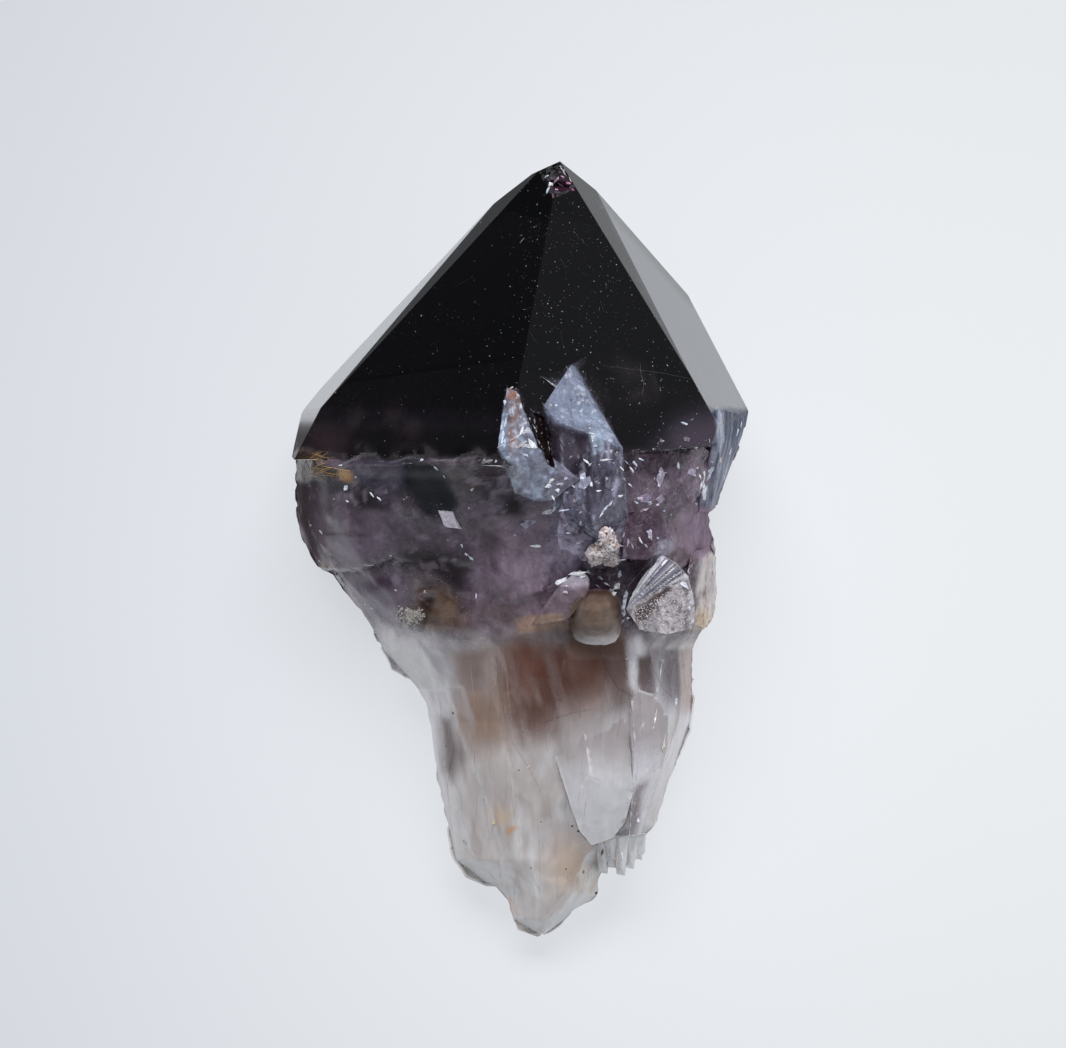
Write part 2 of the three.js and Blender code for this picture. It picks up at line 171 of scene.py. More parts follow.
# ---------------------------------------------------------------- mesh helpers
def new_object(name, verts, faces):
    me = bpy.data.meshes.new(name)
    me.from_pydata([tuple(v) for v in verts], [], faces)
    me.update()
    ob = bpy.data.objects.new(name, me)
    bpy.context.scene.collection.objects.link(ob)
    return ob


def coords(me):
    a = np.empty(len(me.vertices) * 3)
    me.vertices.foreach_get("co", a)
    return a.reshape(-1, 3)


def normals(me):
    a = np.empty(len(me.vertices) * 3)
    me.vertex_normals.foreach_get("vector", a)
    return a.reshape(-1, 3)


def set_coords(me, a):
    me.vertices.foreach_set("co", np.ascontiguousarray(a, float).ravel())
    me.update()


def hull_bm(points):
    """Convex hull of points as a bmesh."""
    bm = bmesh.new()
    for p in points:
        bm.verts.new(p)
    got = bmesh.ops.convex_hull(bm, input=bm.verts)
    bmesh.ops.delete(bm, geom=list({g for g in got["geom_interior"] + got["geom_unused"] if isinstance(g, bmesh.types.BMVert)}), context="VERTS")
    bmesh.ops.recalc_face_normals(bm, faces=bm.faces)
    if bm.calc_volume(signed=True) < 0:
        bmesh.ops.reverse_faces(bm, faces=bm.faces)
    return bm


def chamfered(points, bevel):
    """The corners of the convex solid round points (mm) after a narrow chamfer on every edge."""
    bm = hull_bm(points)
    planes = []
    of_face = {}
    for f in bm.faces:
        f.normal_update()
        n = np.array(f.normal)
        c = -float(n @ np.array(f.verts[0].co))
        for k, (m, d) in enumerate(planes):
            if n @ m > 0.99995 and abs(c - d) < 0.02:
                of_face[f] = k
                break
        else:
            if f.calc_area() > 0.02:
                of_face[f] = len(planes)
                planes.append((n, c))
    for e in bm.edges:
        pair = [of_face.get(f) for f in e.link_faces]
        if len(pair) != 2 or None in pair or pair[0] == pair[1]:
            continue
        a, b = planes[pair[0]], planes[pair[1]]
        turn = math.acos(float(np.clip(a[0] @ b[0], -1, 1)))
        if turn < math.radians(4):
            continue
        n = (a[0] + b[0]) / np.linalg.norm(a[0] + b[0])
        planes.append((n, -float(n @ np.array(e.verts[0].co)) + bevel / 2 * math.tan(min(turn / 2, 1.2))))
    bm.free()
    n = np.array([q[0] for q in planes])
    c = np.array([q[1] for q in planes])
    t = np.array([(a, b, d) for a in range(len(n)) for b in range(a + 1, len(n)) for d in range(b + 1, len(n))])
    m = n[t]
    ok = np.abs(np.linalg.det(m)) > 1e-5
    got = np.linalg.solve(m[ok], -c[t[ok]][..., None])[..., 0]
    got = got[(got @ n.T + c < 1e-5).all(1)]
    kept = []
    for q in got:
        if not any(abs(q[0] - r[0]) + abs(q[1] - r[1]) + abs(q[2] - r[2]) < 0.012 for r in kept):
            kept.append(q)
    return np.array(kept)


def solid_hull(name, points, edge=0.9, bevel=0.0, kind=0, finer=None):
    """A closed convex chunk round flat-frame points (mm), its faces cut to that edge length in mm."""
    if bevel:
        points = chamfered(points, bevel)
    bm = hull_bm(place(points))
    bmesh.ops.triangulate(bm, faces=bm.faces)
    bm.verts.index_update()
    verts = np.array([v.co for v in bm.verts])
    tris = np.array([[v.index for v in f.verts] for f in bm.faces])
    bm.free()
    verts, tris = refine(verts, tris, 1.6 * edge / 1000, finer)
    ob = new_object(name, verts, tris.tolist())
    ob.data.polygons.foreach_set("material_index", [kind] * len(ob.data.polygons))
    return ob


def refine(verts, tris, length, finer=None):
    """Halves every edge longer than that (or than finer says at its middle), again and again, and keeps the solid closed."""
    for _ in range(14):
        e = np.stack((tris, np.roll(tris, -1, 1)), 2)
        e.sort(2)
        unique, back = np.unique(e.reshape(-1, 2), axis=0, return_inverse=True)
        span = np.linalg.norm(verts[unique[:, 0]] - verts[unique[:, 1]], axis=1)
        long = span > length
        if finer is not None:
            long |= span > finer(verts[unique].mean(1))
        if not long.any():
            break
        number = len(verts) + np.cumsum(long) - 1
        verts = np.concatenate((verts, verts[unique[long]].mean(1)))
        mark = long[back].reshape(-1, 3)
        mid = number[back].reshape(-1, 3)
        n = mark.sum(1)
        out = [tris[n == 0]]
        # one long side
        t, g, m = tris[n == 1], mark[n == 1], mid[n == 1]
        k = g.argmax(1)
        r = np.arange(len(t))
        a, b, c, p_ = t[r, k], t[r, (k + 1) % 3], t[r, (k + 2) % 3], m[r, k]
        out += [np.stack((a, p_, c), 1), np.stack((p_, b, c), 1)]
        # two long sides
        t, g, m = tris[n == 2], mark[n == 2], mid[n == 2]
        k = (g.argmin(1) + 1) % 3
        r = np.arange(len(t))
        a, b, c, p_, q_ = t[r, k], t[r, (k + 1) % 3], t[r, (k + 2) % 3], m[r, k], m[r, (k + 1) % 3]
        out += [np.stack((p_, b, q_), 1), np.stack((a, p_, q_), 1), np.stack((a, q_, c), 1)]
        # three
        t, m = tris[n == 3], mid[n == 3]
        out += [np.stack((t[:, 0], m[:, 0], m[:, 2]), 1), np.stack((m[:, 0], t[:, 1], m[:, 1]), 1), np.stack((m[:, 2], m[:, 1], t[:, 2]), 1), m]
        tris = np.concatenate(out)
    return verts, tris


def combine(target, other, how):
    """Joins other into target, or cuts it away, as one closed solid."""
    mod = target.modifiers.new("m", "BOOLEAN")
    mod.operation, mod.object, mod.solver = how, other, "MANIFOLD"
    deps = bpy.context.evaluated_depsgraph_get()
    me = bpy.data.meshes.new_from_object(target.evaluated_get(deps))
    target.modifiers.remove(mod)
    old = target.data
    target.data = me
    bpy.data.meshes.remove(old)
    bpy.data.objects.remove(other)


# kinds of surface, kept as material numbers while the solid is put together
HEAD, STEM, SMALL, BLADE, CHIPS, LOBE, FRAG, SHARD, PIT, PRISM = range(10)
kind_materials = [bpy.data.materials.new(f"kind_{k}") for k in range(10)]

# ---------------------------------------------------------------- the head, from its planes
APEX, RIDGE_FOOT, LEFT_SHOULDER, RIGHT_SHOULDER, INNER = (560, 161, 0), (515, 400, 25), (318, 411, 1), (692, 378, 12.5), (520, 400, -8)


class Plane:
    def __init__(self, normal, point, inner=None):
        self.n = np.asarray(normal, float) / np.linalg.norm(normal)
        self.c = -float(self.n @ flat(point))
        if inner is not None and self.n @ flat(inner) + self.c > 0:
            self.n, self.c = -self.n, -self.c

    def height(self, x, y):
        p = flat((x, y, 0))
        side = self.n[0] * p[0] + self.n[1] * p[1]
        return -(side + self.c) / (self.n[2] - side / EYE)


def face(p, q, r, inner=INNER):
    a, b, c = flat(p), flat(q), flat(r)
    return Plane(np.cross(b - a, c - a), p, inner)


def face_on_edge(p, q, rise):
    a, d = flat(p), flat(q) - flat(p)
    side = math.hypot(d[0], d[1])
    t = -rise * d[2] / side
    r = math.sqrt(max(0, 1 - rise * rise - t * t))
    for turn in (1, -1):
        n = ((t * d[0] - turn * r * d[1]) / side, (t * d[1] + turn * r * d[0]) / side, rise)
        plane = Plane(n, p)
        if plane.n @ flat(INNER) + plane.c < 0:
            return plane


f1 = face(APEX, RIDGE_FOOT, LEFT_SHOULDER)
f2 = face(APEX, RIDGE_FOOT, RIGHT_SHOULDER)
f3_top, f4_edge = (596, 190, -5.2), (688, 295, -24)
f3 = face(RIGHT_SHOULDER, (561, 163, f2.height(561, 163)), f3_top)
f4 = face(RIGHT_SHOULDER, f3_top, f4_edge)
f5_top, f6_edge = (468, 234, -2.82), (301, 410, -26)
f5 = face(LEFT_SHOULDER, (530, 180, f1.height(530, 180)), f5_top)
f6 = face(LEFT_SHOULDER, f5_top, f6_edge)
f6_top, shoulder, tip_side = (467, 229, f6.height(467, 229)), (507, 193, f5.height(507, 193)), (532, 174, -2.2)
head_planes = [
    f1, f2, f3, f4, f5, f6,
    face_on_edge(f6_edge, f6_top, -0.5), face_on_edge(f6_top, shoulder, 0.0),
    face_on_edge(shoulder, tip_side, -0.4), face_on_edge(tip_side, APEX, -0.4), face_on_edge(APEX, f3_top, -0.4),
    face_on_edge(f3_top, f4_edge, -0.49), face_on_edge(f4_edge, (745, 404, f4.height(745, 404)), -0.45),
    face((721, 411, 14), (711, 515, 8), (748, 414, -13)), face_on_edge((748, 414, -13), (727, 472, -13.5), -0.62),
    face((318, 413, 1.3), (297, 422, -22), (304, 440, 3.1)), face_on_edge((297, 424, -12), (295.5, 470, -12), 0.0),
    face_on_edge((298, 428, -22), (296, 470, -23), -0.72),
    Plane((0, 0.16, -0.987), (520, 440, -31.2)),
    face((322, 461, f1.height(322, 461)), (500, 467, f1.height(500, 467)), (716, 447, f2.height(716, 447))),
]


def corners(planes):
    found = []
    for i in range(len(planes)):
        for j in range(i + 1, len(planes)):
            for k in range(j + 1, len(planes)):
                m = np.array([planes[i].n, planes[j].n, planes[k].n])
                if abs(np.linalg.det(m)) < 1e-6:
                    continue
                p = np.linalg.solve(m, [-planes[i].c, -planes[j].c, -planes[k].c])
                if all(q.n @ p + q.c < 1e-4 for q in planes) and not any(np.linalg.norm(p - f) < 1e-3 for f in found):
                    found.append(p)
    return np.array(found)


head = solid_hull("head", corners(head_planes), edge=4.0, bevel=0.10, kind=HEAD,
                  finer=lambda m: np.where(back_to_drawing(m)[:, 1] > 432, 0.00095, np.where(back_to_drawing(m)[:, 1] > 385, 0.002, 0.007)))

# ---------------------------------------------------------------- the broken stem, lofted row by row
left_edge = [(425, 300), (446, 296), (480, 295), (509, 297), (525, 299), (540, 303), (554, 310), (565, 316), (570, 320), (575, 331), (585, 339),
             (600, 351), (606, 355), (610, 361), (624, 369), (647, 380), (657, 387), (669, 391), (678, 408), (690, 418), (701, 425), (721, 429),
             (750, 434), (780, 437), (799, 442), (822, 447), (849, 449), (861, 454), (870, 460), (878, 466), (883, 478), (888, 495), (901, 507),
             (919, 513), (930, 517), (936, 538)]
right_edge = [(425, 740), (444, 740), (462, 733), (476, 725), (492, 721), (509, 714), (513, 709), (528, 711), (550, 716), (590, 715), (616, 712),
              (645, 694), (674, 693), (704, 695), (732, 691), (750, 683), (767, 675), (796, 665), (825, 656), (840, 640), (854, 622), (866, 606),
              (880, 599), (894, 598), (900, 594), (904, 584), (911, 573), (919, 567), (927, 558), (936, 546)]
front = [
    (425, [(300, -20), (307, -7), (319, -1), (340, 4.5), (400, 12), (450, 18), (500, 24), (540, 23), (600, 20), (660, 16), (715, 11), (738, -14)]),
    (462, [(296, -18), (302, -4), (312, 6.4), (328, 9.6), (345, 11.9), (400, 18.9), (440, 24), (470, 28.6), (490, 30.1), (505, 29.2), (520, 27.5), (560, 26.5), (610, 24), (665, 19), (708, 12.5), (733, -10)]),
    (480, [(295, -17), (300, -7), (310, 0.5), (326, 6.5), (345, 10), (390, 16), (430, 20.3), (470, 24.2), (510, 25.6), (560, 26), (610, 23.5), (665, 18.5), (704, 11.5), (724, -8)]),
    (509, [(297, -17), (302, -9), (313, -2), (328, 4), (345, 7.8), (390, 13), (430, 16.6), (470, 19.6), (520, 22), (570, 23.5), (620, 21), (665, 17), (698, 11.5), (714, -4)]),
    (535, [(301, -18), (318, -6), (350, 4.5), (390, 9.5), (430, 13), (470, 16), (520, 18.5), (570, 20.5), (620, 19.5), (660, 16), (692, 11), (712, -4)]),
    (570, [(320, -17), (336, -8), (365, 1), (400, 6.5), (440, 10.5), (480, 14), (530, 16), (575, 17.5), (620, 16.5), (660, 14), (695, 8), (716, -5)]),
    (600, [(351, -15), (366, -7), (392, 1), (420, 6), (455, 9.5), (495, 12.5), (535, 14.5), (580, 15), (620, 14), (660, 12), (695, 6), (715, -5)]),
    (624, [(369, -14), (382, -7), (405, 0.5), (430, 5), (460, 8.5), (500, 11.5), (540, 13), (580, 13), (620, 12), (655, 10), (690, 3), (708, -6)]),
    (650, [(382, -13), (398, -7), (420, 0), (440, 4), (470, 7.5), (505, 10), (545, 11.5), (585, 11.5), (620, 10.5), (650, 8), (680, 1), (694, -7)]),
    (690, [(418, -12), (428, -6), (445, 0), (465, 4.5), (490, 7.5), (520, 9.5), (555, 10.5), (590, 10.5), (625, 9), (655, 6), (682, -1), (694, -8)]),
    (721, [(429, -11), (440, -5), (455, 0), (475, 4), (500, 6.5), (530, 8.5), (560, 9.5), (595, 9.5), (625, 8), (655, 4.5), (680, -2), (692, -8)]),
    (767, [(435, -10), (446, -5), (460, -1), (480, 2.5), (500, 5), (525, 7), (555, 8), (590, 8), (620, 6.5), (645, 3), (664, -3), (675, -8)]),
    (825, [(447, -9), (456, -5), (470, -1.5), (488, 1), (505, 3), (525, 4.5), (550, 5), (580, 4.5), (605, 3), (628, 0), (645, -4), (656, -8)]),
    (861, [(454, -8), (463, -5), (475, -2.5), (490, -0.5), (505, 1), (525, 2.5), (548, 3), (566, 2.5), (582, 1), (595, -1.5), (605, -4.5), (613, -7.5)]),
    (894, [(500, -7.5), (506, -5.5), (514, -3.5), (522, -2), (532, -0.8), (543, 0), (554, 0.2), (564, -0.5), (574, -1.8), (584, -3.5), (592, -5.5), (598, -7.5)]),
    (919, [(513, -7), (517, -5.5), (522, -4.3), (528, -3.2), (534, -2.6), (540, -2.2), (546, -2.3), (551, -2.8), (556, -3.6), (560, -4.7), (564, -6), (567, -7)]),
    (936, [(538, -6.6), (539, -6), (540, -5.6), (540.8, -5.4), (541.5, -5.2), (542, -5.2), (542.6, -5.2), (543.2, -5.4), (544, -5.6), (544.6, -5.9), (545.3, -6.2), (546, -6.6)]),
]
behind = [(425, -36, 4), (470, -36, 4), (560, -33.5, 4), (600, -32, 3.6), (640, -29, 3.2), (680, -24.6, 3), (705, -22.2, 2.8), (730, -20.2, 2.6),
          (767, -17.6, 2.5), (825, -15.2, 2.4), (861, -13.4, 2.2), (894, -11.6, 2), (919, -9.6, 2), (936, -7.6, 2)]
front_rows = np.array([r[0] for r in front], float)


def table(t, rows, column=1):
    return np.interp(t, [r[0] for r in rows], [r[column] for r in rows])


def front_height(x, y):
    """Height of the front over columns x of one row y."""
    i = int(np.clip(np.searchsorted(front_rows, y), 1, len(front) - 1))
    f = float(np.clip((y - front_rows[i - 1]) / (front_rows[i] - front_rows[i - 1]), 0, 1))
    e0 = front[i - 1][1][0][0] * (1 - f) + front[i][1][0][0] * f
    e1 = front[i - 1][1][-1][0] * (1 - f) + front[i][1][-1][0] * f
    u = np.clip((x - e0) / (e1 - e0), 0, 1)
    h = []
    for k in (i - 2, i - 1, i, i + 1):
        row = front[int(np.clip(k, 0, len(front) - 1))][1]
        c = np.array(row, float)
        h.append(np.interp(u, (c[:, 0] - c[0, 0]) / (c[-1, 0] - c[0, 0]), c[:, 1]))
    return 0.5 * (2 * h[1] + (h[2] - h[0]) * f + (2 * h[0] - 5 * h[1] + 4 * h[2] - h[3]) * f * f + (3 * h[1] - h[0] - 3 * h[2] + h[3]) * f**3)


NF, NB = 132, 42
step = 2.6
stem_rows = list(np.arange(425, 934.5, step)) + [936]
ring = []
for y in stem_rows:
    x0 = float(table(y, left_edge)) + 0.9 * float(vnoise(np.array([[y, 0, 0]]), 5, 21)[0])
    x1 = float(table(y, right_edge)) + 0.9 * float(vnoise(np.array([[y, 50, 0]]), 5, 22)[0])
    u = 0.5 - 0.5 * np.cos(np.pi * np.arange(NF + 1) / NF)
    x = x0 + (x1 - x0) * u
    w = front_height(x, y)
    ring.append(np.stack((x, np.full_like(x, y), w), 1))
    c = np.cos(np.pi * np.arange(1, NB) / NB)
    ub = 0.5 + 0.5 * c
    power = float(table(y, behind, 2))
    r = (1 - np.abs(c) ** power) ** (1 / power)
    rim = w[0] + (w[-1] - w[0]) * ub
    ring.append(np.stack((x0 + (x1 - x0) * ub, np.full_like(ub, y), rim + (float(table(y, behind)) - rim) * r), 1))
size = NF + NB
grid = flat(np.concatenate(ring))
n_rows = len(stem_rows)
tops = [grid[:size].mean(0), grid[-size:].mean(0)]
stem_points = np.concatenate((grid, tops))
a = (np.arange(n_rows - 1)[:, None] * size + np.arange(size)[None]).ravel()
b = (np.arange(n_rows - 1)[:, None] * size + (np.arange(size)[None] + 1) % size).ravel()
faces = np.concatenate((np.stack((a, a + size, b), 1), np.stack((b, a + size, b + size), 1)))
j = np.arange(size)
k = (j + 1) % size
last = (n_rows - 1) * size
faces = np.concatenate((faces, np.stack((np.full(size, n_rows * size), j, k), 1), np.stack((np.full(size, n_rows * size + 1), last + k, last + j), 1)))
stem = new_object("stem", place(stem_points), faces.tolist())
stem.data.polygons.foreach_set("material_index", [STEM] * len(stem.data.polygons))


def scoops(p, size, depth, seed, stretch=(1, 1, 1), warp=0.25):
    """How far conchoidal scoops take a surface down: lowest in the middle of each, with sharp rims between them."""
    q = p + warp * size * np.stack([vnoise(p, size * 1.2, seed + s) for s in (31, 32, 33)], 1)
    f1_, f2_, _, number = cells(q, size, seed, stretch)
    return depth * (0.75 + 0.25 * random_of(number, 1)) * (1 - np.clip(f1_ / 0.8, 0, 1) ** 2)


def chips(p, size, tilt, seed, stretch=(1, 1, 1)):
    """Small flat facets, each with its own slope."""
    q = p + 0.2 * size * np.stack([vnoise(p, size, seed + s) for s in (41, 42, 43)], 1)
    _, _, site, number = cells(q, size, seed, stretch)
    d = p - site
    return tilt * (d[:, 0] * random_of(number, 1) + d[:, 1] * random_of(number, 2) + d[:, 2] * random_of(number, 3)) * 0.6


def outline_distance(poly, x, y):
    """Distance to a closed outline of the drawing, negative inside."""
    a = np.array(poly, float)
    b = np.roll(a, -1, 0)
    best = np.full(len(x), 1e9)
    inside = np.zeros(len(x), bool)
    for (ax, ay), (bx, by) in zip(a, b):
        ex, ey = bx - ax, by - ay
        t = np.clip(((x - ax) * ex + (y - ay) * ey) / (ex * ex + ey * ey + 1e-9), 0, 1)
        best = np.minimum(best, np.hypot(x - ax - t * ex, y - ay - t * ey))
        if ay != by:
            inside ^= ((ay > y) != (by > y)) & (x < ex * (y - ay) / (by - ay) + ax)
    return np.where(inside, -best, best)


# rough up the stem
me = stem.data
P = coords(me)
N = normals(me)
F = back_to_flat(P)
D = back_to_drawing(P)
X, Y = D[:, 0], D[:, 1]
Nf = np.stack((N[:, 0], N[:, 1] * CL + N[:, 2] * SL, N[:, 2] * CL - N[:, 1] * SL), 1)
facing = np.clip(np.abs(Nf[:, 2]), 0, 1)
to_front = ramp(Nf[:, 2], -0.1, 0.3)
rootness = ramp(Y + 10 * vnoise(F, 9, 3), 625, 680)
smooth_left = to_front * ramp(-X, -520, -460) * (1 - rootness)
smooth_right = to_front * (1 - ramp(outline_distance([(664, 500), (686, 478), (706, 490), (712, 535), (690, 566), (668, 556), (658, 535)], X, Y), -6, 8))
smooth = np.clip(smooth_left + smooth_right, 0, 1)
chippy = ramp(X + 10 * vnoise(F, 6, 5), 560, 610) * (1 - ramp(Y, 560, 590)) * to_front * (1 - smooth_right)
out = np.zeros(len(P))
out -= (1 - rootness) * (1 - 0.85 * smooth) * scoops(F, 11, 1.1, 1)
out -= (1 - rootness) * (1 - 0.92 * smooth) * scoops(F, 4.2, 0.5, 2)
out -= smooth * (1 - rootness) * scoops(F, 8.5, 0.32, 12)
out += smooth * (1 - rootness) * 0.5 * fbm(F, 6, 2, 16)
out -= rootness * scoops(F, 8.0, 0.9, 3, (1, 0.35, 1))
out -= rootness * 0.35 * scoops(F, 3.4, 0.45, 4, (1, 0.22, 1))
out += (0.3 - 0.18 * rootness) * fbm(F, 7, 3, 5)
out += chippy * chips(F, 2.2, 0.9, 6) + chippy * chips(F, 1.0, 0.6, 7)
out *= 0.35 + 0.65 * facing
P = P + N * (out / 1000)[:, None]
# the bulge at the left ends below in a fold, and the surface steps back under it
fold = np.interp(X, [296, 319, 350, 373, 393, 420, 470], [556, 570, 571, 565, 559, 562, 566])
under = (1 - ramp(Y, fold + 4, fold + 34)) * ramp(Y, fold - 1.2, fold + 1.6) * to_front * (1 - ramp(X, 385, 430))
over = np.exp(-(((Y - fold + 26) / 24) ** 2)) * (1 - ramp(X, 350, 420)) * to_front * (Y < fold + 2)
lift = 1.3 * over - 1.7 * under
# long steps down the root, each one edge of a growth plane
for line, y0, y1, drop, reach in (
    ([(646, 492), (700, 496), (740, 503), (790, 514), (850, 521)], 640, 860, -0.55, 22), ([(690, 446), (730, 458), (770, 474), (820, 492), (870, 503)], 680, 880, 0.6, 26),
    ([(640, 414), (680, 434), (720, 440), (800, 452)], 640, 800, 0.5, 14), ([(640, 640), (680, 636), (700, 642)], 632, 700, -0.5, 20),
    ([(850, 531), (900, 538)], 835, 925, -0.4, 14), ([(650, 566), (690, 560), (725, 552)], 645, 735, 0.35, 24),
):
    d = X - np.interp(Y, [q[0] for q in line], [q[1] for q in line]) + 1.6 * vnoise(F, 3, 23)
    lift += drop * ramp(d, -2.4, 2.4) * np.exp(-np.maximum(d, 0) / reach) * ramp(Y, y0 - 6, y0 + 10) * (1 - ramp(Y, y1 - 10, y1 + 6)) * to_front
# the dark broken face beside it, one flat plane with a step round it
for outline, tilt, drop in (
    ([(402, 458), (440, 462), (455, 476), (463, 505), (461, 534), (430, 522), (404, 496)], (0.012, -0.01), -0.7),
    ([(398, 556), (440, 552), (478, 566), (480, 602), (436, 590), (402, 584)], (-0.01, 0.012), -0.6),
    ([(478, 530), (540, 516), (556, 560), (546, 596), (500, 606), (482, 570)], (0.008, 0.02), 0.5),
    ([(420, 592), (446, 588), (472, 608), (482, 630), (424, 630)], (0.02, 0.01), -0.5),
):
    cx, cy = np.mean(outline, 0)
    inside = (1 - ramp(outline_distance(outline, X + 3 * vnoise(F, 3, 24), Y + 3 * vnoise(F, 3, 25)), -5.0, 2.0)) * to_front
    lift += inside * (0.75 * drop + tilt[0] * (X - cx) + tilt[1] * (Y - cy))
lift -= 1.6 * ramp(X, 470, 570) * (1 - ramp(Y + 5 * vnoise(F, 5, 15), 450, 470)) * to_front
lift -= 1.5 * (1 - ramp(X, 480, 540)) * (1 - ramp(Y + 5 * vnoise(F, 4, 27), 452, 460)) * to_front
axis = place(np.array([0.0, 0.0, 1.0])) - place(np.zeros(3))
set_coords(me, P + lift[:, None] * axis)

# the head's lower rim is ragged, and it sinks towards the broken surface
Ph, Nh = coords(head.data), normals(head.data)
Fh, Dh = back_to_flat(Ph), back_to_drawing(Ph)
front_h = ramp(Nh[:, 2] * CL - Nh[:, 1] * SL, -0.2, 0.3)
rim_h = ramp(Dh[:, 1] + 9 * vnoise(Fh, 5, 17), 444, 462) * front_h * (0.22 + 0.78 * ramp(Dh[:, 0], 600, 650))
set_coords(head.data, Ph - Nh * (rim_h * (scoops(Fh, 4.6, 1.5, 18) + scoops(Fh, 2.1, 0.5, 19)) / 1000)[:, None])

# ---------------------------------------------------------------- small crystals, lobes and shards grown into it
end = face((571, 365, 20.8), (544, 405, 27.2), (621, 447, 28.4))


def on_end(*pairs):
    return [(x, y, end.height(x, y)) for x, y in pairs]


def on_right(x, y, above):
    return (x, y, f2.height(x, y) + above)


def splinter(x, half, tip, w):
    """One fluted splinter at the lower end."""
    return [(x - half, 836, w + 0.2), (x + half, 835, w - 0.1), (x - 0.3 * half, 838, w + 0.7), (x, tip - 7, w - 1.8), (x - 0.55 * half, tip - 1, w - 3.2),
            (x + 0.55 * half, tip + 1, w - 3.7), (x - half, 842, -10.5), (x + half, 840, -10.5), (x, tip, -10)]


# smooth olive dome in the neck: a squarish ring that closes to one top
dome_points = [(596, 618, 18.7), (596, 612, 2)]
for rise in (0, 0.3, 0.6, 0.9, 1.2):
    for i in range(24):
        c, q = math.cos(i / 12 * math.pi), math.sin(i / 12 * math.pi)
        y = 618 + 30 * math.cos(rise) * math.copysign(abs(q) ** 0.7, q)
        dome_points.append((596 + 27 * math.cos(rise) * math.copysign(abs(c) ** 0.7, c), y, 11.2 - 0.12 * (y - 622) + 7.1 * math.sin(rise)))

